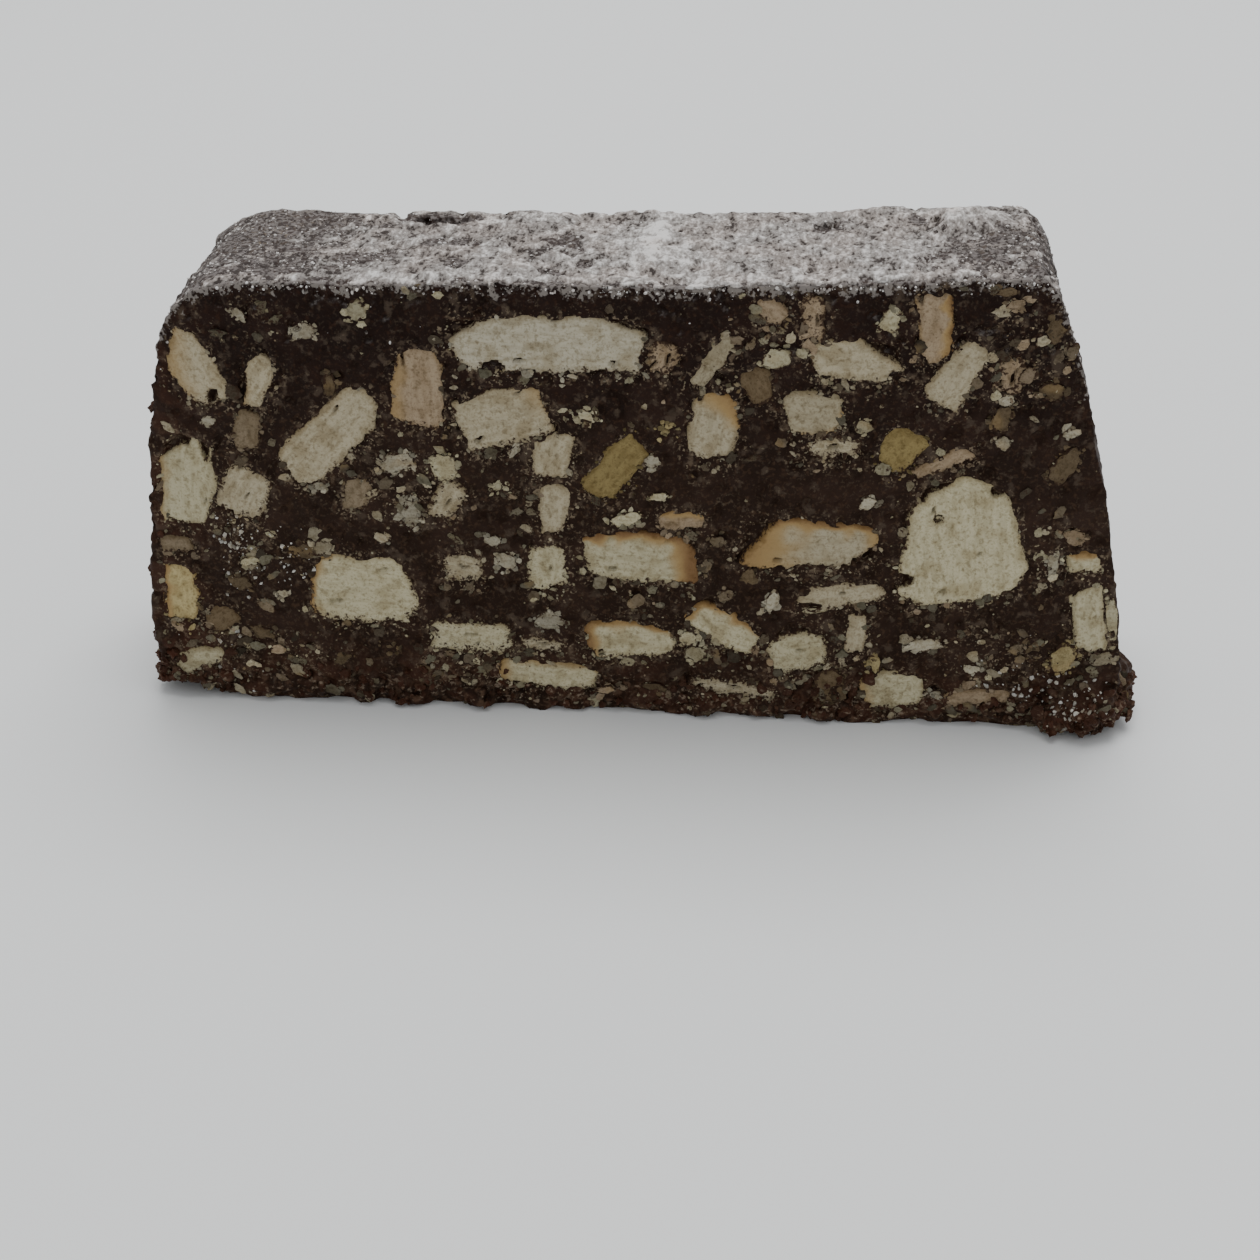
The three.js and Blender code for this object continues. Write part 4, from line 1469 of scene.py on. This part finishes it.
face_middle = loaf[loaf_faces].mean(1)
face_area = np.linalg.norm(face_normals(loaf, loaf_faces), axis=1)
wanted = ease(*COCOA_HEIGHTS, face_middle[:, 2]) * (face_middle[:, 2] > COCOA_FLOOR)
wanted *= COCOA_LEAST + banded(COCOA_CORNERS, np.abs(face_middle[:, 0]))
wanted *= COCOA_BETWEEN + banded(COCOA_DRIFTS, uneven(face_middle, *COCOA_NOISE))
wanted += COCOA_LEFT * (face_middle[:, 0] < COCOA_LEFT_FROM) * (face_middle[:, 2] < COCOA_LEFT_TOP)
odds = wanted * face_area
picked = draw.choice(len(face_middle), COCOA_COUNT, p=odds / odds.sum())
cocoa_places = face_middle[picked]
cocoa_radius, cocoa_sizes = ball_sizes(COCOA_COUNT, COCOA_SIZE, *COCOA_STRETCH)
cocoa_places[:, 2] = np.maximum(cocoa_places[:, 2], cocoa_sizes[:, 2] * COCOA_LIFT)
cocoa_turns = draw.uniform(0, COCOA_TURN, COCOA_COUNT)
cocoa_shapes = []
for detail, chosen in by_size(cocoa_radius, COCOA_LARGE):
    placed = (cocoa_places[chosen], cocoa_sizes[chosen], cocoa_turns[chosen])
    cocoa_shapes.append(lumps(detail, *placed, COCOA_DENT, COCOA_SEED))
cocoa_points, cocoa_faces = joined(cocoa_shapes)
cocoa_points[:, 2] = np.maximum(cocoa_points[:, 2], 0)
cocoa = show("cocoa_crumbs", cocoa_points, cocoa_faces, smooth=False)
print("cocoa crumbs:", COCOA_COUNT)

# %% [markdown]
# ## Writing materials as sums
# A material is a net of nodes, and its maths reads best as ordinary expressions.
# A small class stands for one socket, so that a sum of two sockets adds the Math node for it.
# A second class builds a material, and has one method that adds any other kind of node.


# %% Sockets and finishes
NOISE_ROUGHNESS = 0.55


class Wire:
    """One output socket. Arithmetic on it adds Math nodes to its finish."""

    def __init__(self, finish, socket):
        self.finish = finish
        self.socket = socket

    def sum_of(self, operation, first, second):
        return self.finish.node("ShaderNodeMath", {"operation": operation}, {0: first, 1: second})

    def __add__(self, other):
        return self.sum_of("ADD", self, other)

    def __radd__(self, other):
        return self.sum_of("ADD", other, self)

    def __sub__(self, other):
        return self.sum_of("SUBTRACT", self, other)

    def __rsub__(self, other):
        return self.sum_of("SUBTRACT", other, self)

    def __mul__(self, other):
        return self.sum_of("MULTIPLY", self, other)

    def __rmul__(self, other):
        return self.sum_of("MULTIPLY", other, self)


class Finish:
    """A material with one method that adds any node."""

    def __init__(self, name):
        self.material = bpy.data.materials.new(name)
        self.material.use_nodes = True
        self.tree = self.material.node_tree
        self.shader = self.tree.nodes["Principled BSDF"]

    def feed(self, socket, value):
        if isinstance(value, Wire):
            self.tree.links.new(value.socket, socket)
        elif isinstance(value, tuple) and len(value) == 3 and len(socket.default_value) == 4:
            socket.default_value = (*value, 1.0)
        else:
            socket.default_value = value

    def node(self, kind, settings, inputs, output=0):
        made = self.tree.nodes.new(kind)
        for name, value in settings.items():
            setattr(made, name, value)
        for name, value in inputs.items():
            self.feed(made.inputs[name], value)
        return Wire(self, made.outputs[output])

    def place(self):
        """The point on the object, in millimetres."""
        spot = self.node("ShaderNodeTexCoord", {}, {}, "Object")
        return self.node("ShaderNodeVectorMath", {"operation": "SCALE"}, {0: spot, "Scale": 1 / MM})

    def stretched(self, place, factors):
        """A place counted by other steps along X, Y and Z."""
        return self.node("ShaderNodeVectorMath", {"operation": "MULTIPLY"}, {0: place, 1: factors})

    def axis(self, vector, name):
        """One part of a vector."""
        return self.node("ShaderNodeSeparateXYZ", {}, {0: vector}, name)

    def noise(self, place, length, detail=2.0):
        """Noise from 0 to 1 whose bumps have a length in millimetres."""
        inputs = {"Vector": place, "Scale": 1 / length, "Detail": detail, "Roughness": NOISE_ROUGHNESS}
        return self.node("ShaderNodeTexNoise", {}, inputs, "Fac")

    def between(self, value, low, high):
        """0 below low, 1 above high, smooth between; low may be the larger one."""
        settings = {"interpolation_type": "SMOOTHSTEP"}
        inputs = {"Value": value, "From Min": low, "From Max": high, "To Min": 0.0, "To Max": 1.0}
        if low > high:
            inputs.update({"From Min": high, "From Max": low, "To Min": 1.0, "To Max": 0.0})
        return self.node("ShaderNodeMapRange", settings, inputs)

    def spots(self, place, length, detail, low, high):
        """Spots where noise of a length rises from a low to a high level."""
        return self.between(self.noise(place, length, detail), low, high)

    def mix(self, factor, first, second, blend="MIX"):
        """One colour laid over another by a factor."""
        settings = {"data_type": "RGBA", "blend_type": blend, "clamp_factor": True}
        return self.node("ShaderNodeMix", settings, {0: factor, 6: first, 7: second}, 2)

    def value(self, name, output="Fac"):
        """What a mesh has stored for each point under a name."""
        return self.node("ShaderNodeAttribute", {"attribute_name": name}, {}, output)

    def bump(self, height, depth, strength=1.0):
        """Fine relief of a depth in millimetres."""
        inputs = {"Strength": strength, "Distance": depth * MM, "Height": height}
        self.feed(self.shader.inputs["Normal"], self.node("ShaderNodeBump", {}, inputs))

    def set(self, sockets):
        for name, value in sockets.items():
            self.feed(self.shader.inputs[name], value)

    def put_on(self, *pieces):
        """Gives the finish to pieces."""
        for piece in pieces:
            piece.data.materials.append(self.material)
        print(self.material.name, "on", len(pieces), "pieces")


# %% [markdown]
# ## Chocolate
# Dark chocolate mixed with butter and biscuit dust is nearly black, with dim blots all over, and painted
# shade darkens its upper part.
# It is browner where dust smeared it, and redder and crusted towards the foot and at the left end.
# Sugar clings below the rims in broken flecks, and its dust greys what faces up at the top.

# %% Chocolate finish
DARKEST = (0.0172, 0.0068, 0.0027)
DARK = (0.030, 0.0140, 0.0083)
GRITTY = (0.062, 0.034, 0.019)
# Painted shade laid over the upper part of the chocolate.
UPPER_PAINTED_SHADE = (0.6, 0.46, 0.42)
BLOT = (0.068, 0.047, 0.032)
SMUDGE = (0.12, 0.085, 0.055)
FLECK = (0.19, 0.146, 0.095)
REDDISH = (0.074, 0.0270, 0.0145)
CRUST = (0.115, 0.066, 0.040)
FLAKE = (0.25, 0.19, 0.135)
FLAKE_STRETCH = (0.8, 1.0, 1.3)
SLIPPED_SUGAR = (0.25, 0.222, 0.2)
SIFTED_SUGAR = (0.20, 0.178, 0.168)


def chocolate_finish(name, redness):
    """Dark chocolate, with some more red in it."""
    finish = Finish(name)
    place = finish.place()
    across = finish.axis(place, "X")
    height = finish.axis(place, "Z")
    upward = finish.axis(finish.node("ShaderNodeNewGeometry", {}, {}, "Normal"), "Z")
    grit = finish.noise(place, 0.55, 3.0)
    colour = finish.mix(finish.spots(place, 5.0, 3.0, 0.42, 0.68), DARKEST, DARK)
    colour = finish.mix(finish.between(grit, 0.5, 0.72) * 0.75, colour, GRITTY)
    # Painted shade: the chocolate is darkened from 22 mm up to 42 mm high, as if in shade.
    colour = finish.mix(finish.between(height, 22.0, 42.0), colour, UPPER_PAINTED_SHADE, "MULTIPLY")
    colour = finish.mix(finish.spots(place, 1.4, 4.0, 0.56, 0.68) * 0.8, colour, BLOT)
    near = finish.value("dust") + 0.9 * (finish.noise(place, 2.8) - 0.5)
    dusty = finish.between(near, 0.0, 0.5)
    colour = finish.mix(finish.spots(place, 0.8, 3.0, 0.55, 0.7) * dusty * 0.8, colour, SMUDGE)
    flecks = finish.spots(place, 0.34, 2.0, 0.57, 0.68)
    colour = finish.mix(flecks * (0.1 + 0.9 * dusty), colour, FLECK)
    low_or_left = 0.4 * finish.between(height, 9.0, 2.0) + 0.35 * finish.between(across, -41.0, -46.0)
    red = finish.spots(place, 3.0, 2.0, 0.42, 0.58) * low_or_left
    colour = finish.mix(red + redness, colour, REDDISH)
    crumbling = finish.between(height + 14.0 * (finish.noise(place, 6.0, 3.0) - 0.5), 6.5, 2.0)
    colour = finish.mix(finish.spots(place, 0.9, 3.0, 0.5, 0.68) * crumbling * 0.7, colour, CRUST)
    flattened = finish.stretched(place, FLAKE_STRETCH)
    colour = finish.mix(finish.spots(flattened, 0.6, 3.0, 0.57, 0.67) * crumbling * 0.75, colour, FLAKE)
    frost = finish.value("frost")
    slipped = 0.68 * frost + 2.6 * (finish.noise(place, 0.45, 3.0) - 0.5)
    slipped = slipped + 1.8 * (finish.noise(place, 1.3) - 0.5)
    slipped = finish.between(slipped, 0.48, 0.8) * finish.between(frost, 0.0, 0.3)
    colour = finish.mix(slipped * 0.85, colour, SLIPPED_SUGAR)
    dust = finish.between(upward, 0.2, 0.8) * finish.between(height, 36.0, 42.0)
    sifted = finish.spots(place, 0.42, 3.0, 0.42, 0.62)
    colour = finish.mix(dust * (0.15 + 0.75 * sifted), colour, SIFTED_SUGAR)
    roughness = 0.4 + 0.4 * finish.noise(place, 1.1)
    finish.set({"Base Color": colour, "Roughness": roughness, "Specular IOR Level": 0.12})
    finish.bump(grit, 0.16)
    return finish


chocolate_finish("dark chocolate", 0.0).put_on(chocolate)
chocolate_finish("cocoa crumb", 0.3).put_on(cocoa)

# %% [markdown]
# ## Biscuit
# Tea biscuit is cream inside with fine layers, tiny holes and a thin browned skin.
# The pieces carry their own tone, their layers, and how toasted or stained each point is.
# Streaks, crumbs and blotches darken the tone, then come the toast, painted shade along the rim and the
# chocolate's smear.

# %% Biscuit finish
LAYER_STRETCH = (0.4, 0.4, 2.2)
STREAK_SHADE = (0.74, 0.71, 0.65)
CRUMB_SHADE = (0.70, 0.67, 0.61)
FINE_SHADE = (0.79, 0.765, 0.72)
BLOTCH_SHADE = (0.76, 0.72, 0.65)
# Painted shade along the rim of each piece.
RIM_PAINTED_SHADE = (0.62, 0.56, 0.46)
GOLDEN = (0.37, 0.248, 0.106)
BAKED = (0.21, 0.115, 0.048)
SMEARED = (0.036, 0.017, 0.0085)


def biscuit_finish():
    """Dry tea biscuit, coloured by what each piece has stored."""
    finish = Finish("tea biscuit")
    place = finish.place()
    streak = finish.noise(finish.stretched(finish.value("layer", "Vector"), LAYER_STRETCH), 1.0, 4.0)
    crumb = finish.noise(place, 0.5, 3.0)
    blotch = finish.noise(place, 2.4)
    fine = finish.noise(place, 0.24)
    toasted = finish.value("toast")
    # Painted shade: the colour darkens towards the outline of a piece, as if its rim were in shade.
    painted_rim_shade = finish.value("inside") + 1.6 * (blotch - 0.5) + 1.6 * (crumb - 0.5)
    smear = finish.value("edge") + 1.7 * (crumb - 0.5) + 1.1 * (fine - 0.5)
    coats = (
        (finish.between(streak, 0.44, 0.66) * 0.6, STREAK_SHADE, "MULTIPLY"),
        (finish.between(crumb, 0.5, 0.68), CRUMB_SHADE, "MULTIPLY"),
        (finish.between(fine, 0.52, 0.66), FINE_SHADE, "MULTIPLY"),
        (finish.between(blotch, 0.46, 0.68), BLOTCH_SHADE, "MULTIPLY"),
        (finish.between(toasted, 0.02, 0.55), GOLDEN, "MIX"),
        (finish.between(toasted, 0.4, 0.95), BAKED, "MIX"),
        (finish.between(painted_rim_shade, 1.0, 0.0), RIM_PAINTED_SHADE, "MULTIPLY"),
        (finish.between(smear, 0.5, 0.15), SMEARED, "MIX"),
    )
    colour = finish.value("tone", "Color")
    for share, shade, blend in coats:
        colour = finish.mix(share, colour, shade, blend)
    finish.set({"Base Color": colour, "Roughness": 0.88, "Specular IOR Level": 0.25})
    finish.bump(0.5 * crumb + 0.3 * fine + 0.2 * streak, 0.3)
    return finish


biscuit_finish().put_on(*biscuits, crumbs, specks)

# %% [markdown]
# ## Sugar
# Thin sugar lets the brown through and looks grey; heaped sugar is near white.
# Noise of three lengths breaks it into small clumps.
# They are longer from front to back, so that they look round at a slant.
# Wide patches of it are browner.

# %% Sugar finish
CLUMP_STRETCH = (1.0, 0.55, 1.0)
CLUMPS = ((0.8, 0.5), (0.3, 0.25), (0.7, 1.3))
BARE_SUGAR = (0.034, 0.025, 0.021)
THIN_SUGAR = (0.272, 0.248, 0.23)
WHITE_SUGAR = (0.70, 0.675, 0.65)
BROWNER_SHADE = (0.92, 0.85, 0.81)


def sugar_finish():
    """Icing sugar, whiter where it lies thicker."""
    finish = Finish("icing sugar")
    spot = finish.place()
    place = finish.stretched(spot, CLUMP_STRETCH)
    depth = finish.value("depth")
    for amount, length in CLUMPS:
        depth = depth + amount * (finish.noise(place, length) - 0.5)
    colour = finish.mix(finish.between(depth, -0.14, 0.1), BARE_SUGAR, THIN_SUGAR)
    colour = finish.mix(finish.between(depth, 0.08, 0.42), colour, WHITE_SUGAR)
    browner = finish.spots(spot, 4.5, 2.0, 0.42, 0.62)
    colour = finish.mix(browner * 0.6, colour, BROWNER_SHADE, "MULTIPLY")
    finish.set({"Base Color": colour, "Roughness": 0.8, "Specular IOR Level": 0.3})
    finish.bump(finish.noise(place, 0.3), 0.1)
    return finish


sugar_finish().put_on(film, grains)

# %% [markdown]
# ## Floor and light
# A pale floor and one large soft lamp, above and a little behind, leave the cut face in gentle shade.
# An even, slightly cool sky fills the shadows.

# %% Floor and light
FLOOR_HALF = 12.0
FLOOR_CORNERS = ((-1, -1), (1, -1), (1, 1), (-1, 1))
FLOOR_COLOUR = (0.83, 0.84, 0.835)
LAMP_PLACE = Vector((0.05, 0.25, 0.9))
LAMP_AIM = Vector((0, 0, 0.02))
LAMP_SIZE = 0.7
LAMP_POWER = 7.2
SKY_COLOUR = (0.96, 0.98, 1.0, 1.0)
SKY_STRENGTH = 0.62

floor_mesh = bpy.data.meshes.new("floor")
floor_points = [(x * FLOOR_HALF, y * FLOOR_HALF, 0) for x, y in FLOOR_CORNERS]
floor_mesh.from_pydata(floor_points, [], [(0, 1, 2, 3)])
floor = bpy.data.objects.new("floor", floor_mesh)
bpy.context.scene.collection.objects.link(floor)
floor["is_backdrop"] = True
floor_finish = Finish("pale floor")
floor_finish.set({"Base Color": FLOOR_COLOUR, "Roughness": 0.7})
floor_finish.put_on(floor)

lamp_data = bpy.data.lights.new("lamp above", "AREA")
lamp_data.size = LAMP_SIZE
lamp_data.energy = LAMP_POWER
lamp = bpy.data.objects.new("lamp above", lamp_data)
lamp.location = LAMP_PLACE
lamp.rotation_euler = (LAMP_PLACE - LAMP_AIM).to_track_quat("Z", "Y").to_euler()
bpy.context.scene.collection.objects.link(lamp)

world = bpy.data.worlds.new("studio")
world.use_nodes = True
world.node_tree.nodes["Background"].inputs["Color"].default_value = SKY_COLOUR
world.node_tree.nodes["Background"].inputs["Strength"].default_value = SKY_STRENGTH
bpy.context.scene.world = world
print("floor and light set")

# %% [markdown]
# ## Sizes
# The dressed slice is meant to keep the size of its solids, so both boxes are printed.

# %% Sizes and finish
low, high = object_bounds()
sizes = {"cad": [list(cad_low), list(cad_high)], "visual": [list(low), list(high)]}
counts = [len(part.data.polygons) for part in bpy.data.objects if part.type == "MESH"]
print("largest pieces", sorted(counts)[-7:], "of", sum(counts), "faces with the hidden solids")
print("box of the solids", [round((b - a) / MM, 2) for a, b in zip(cad_low, cad_high)], "mm")
print("box of the dressed slice", [round((b - a) / MM, 2) for a, b in zip(low, high)], "mm")
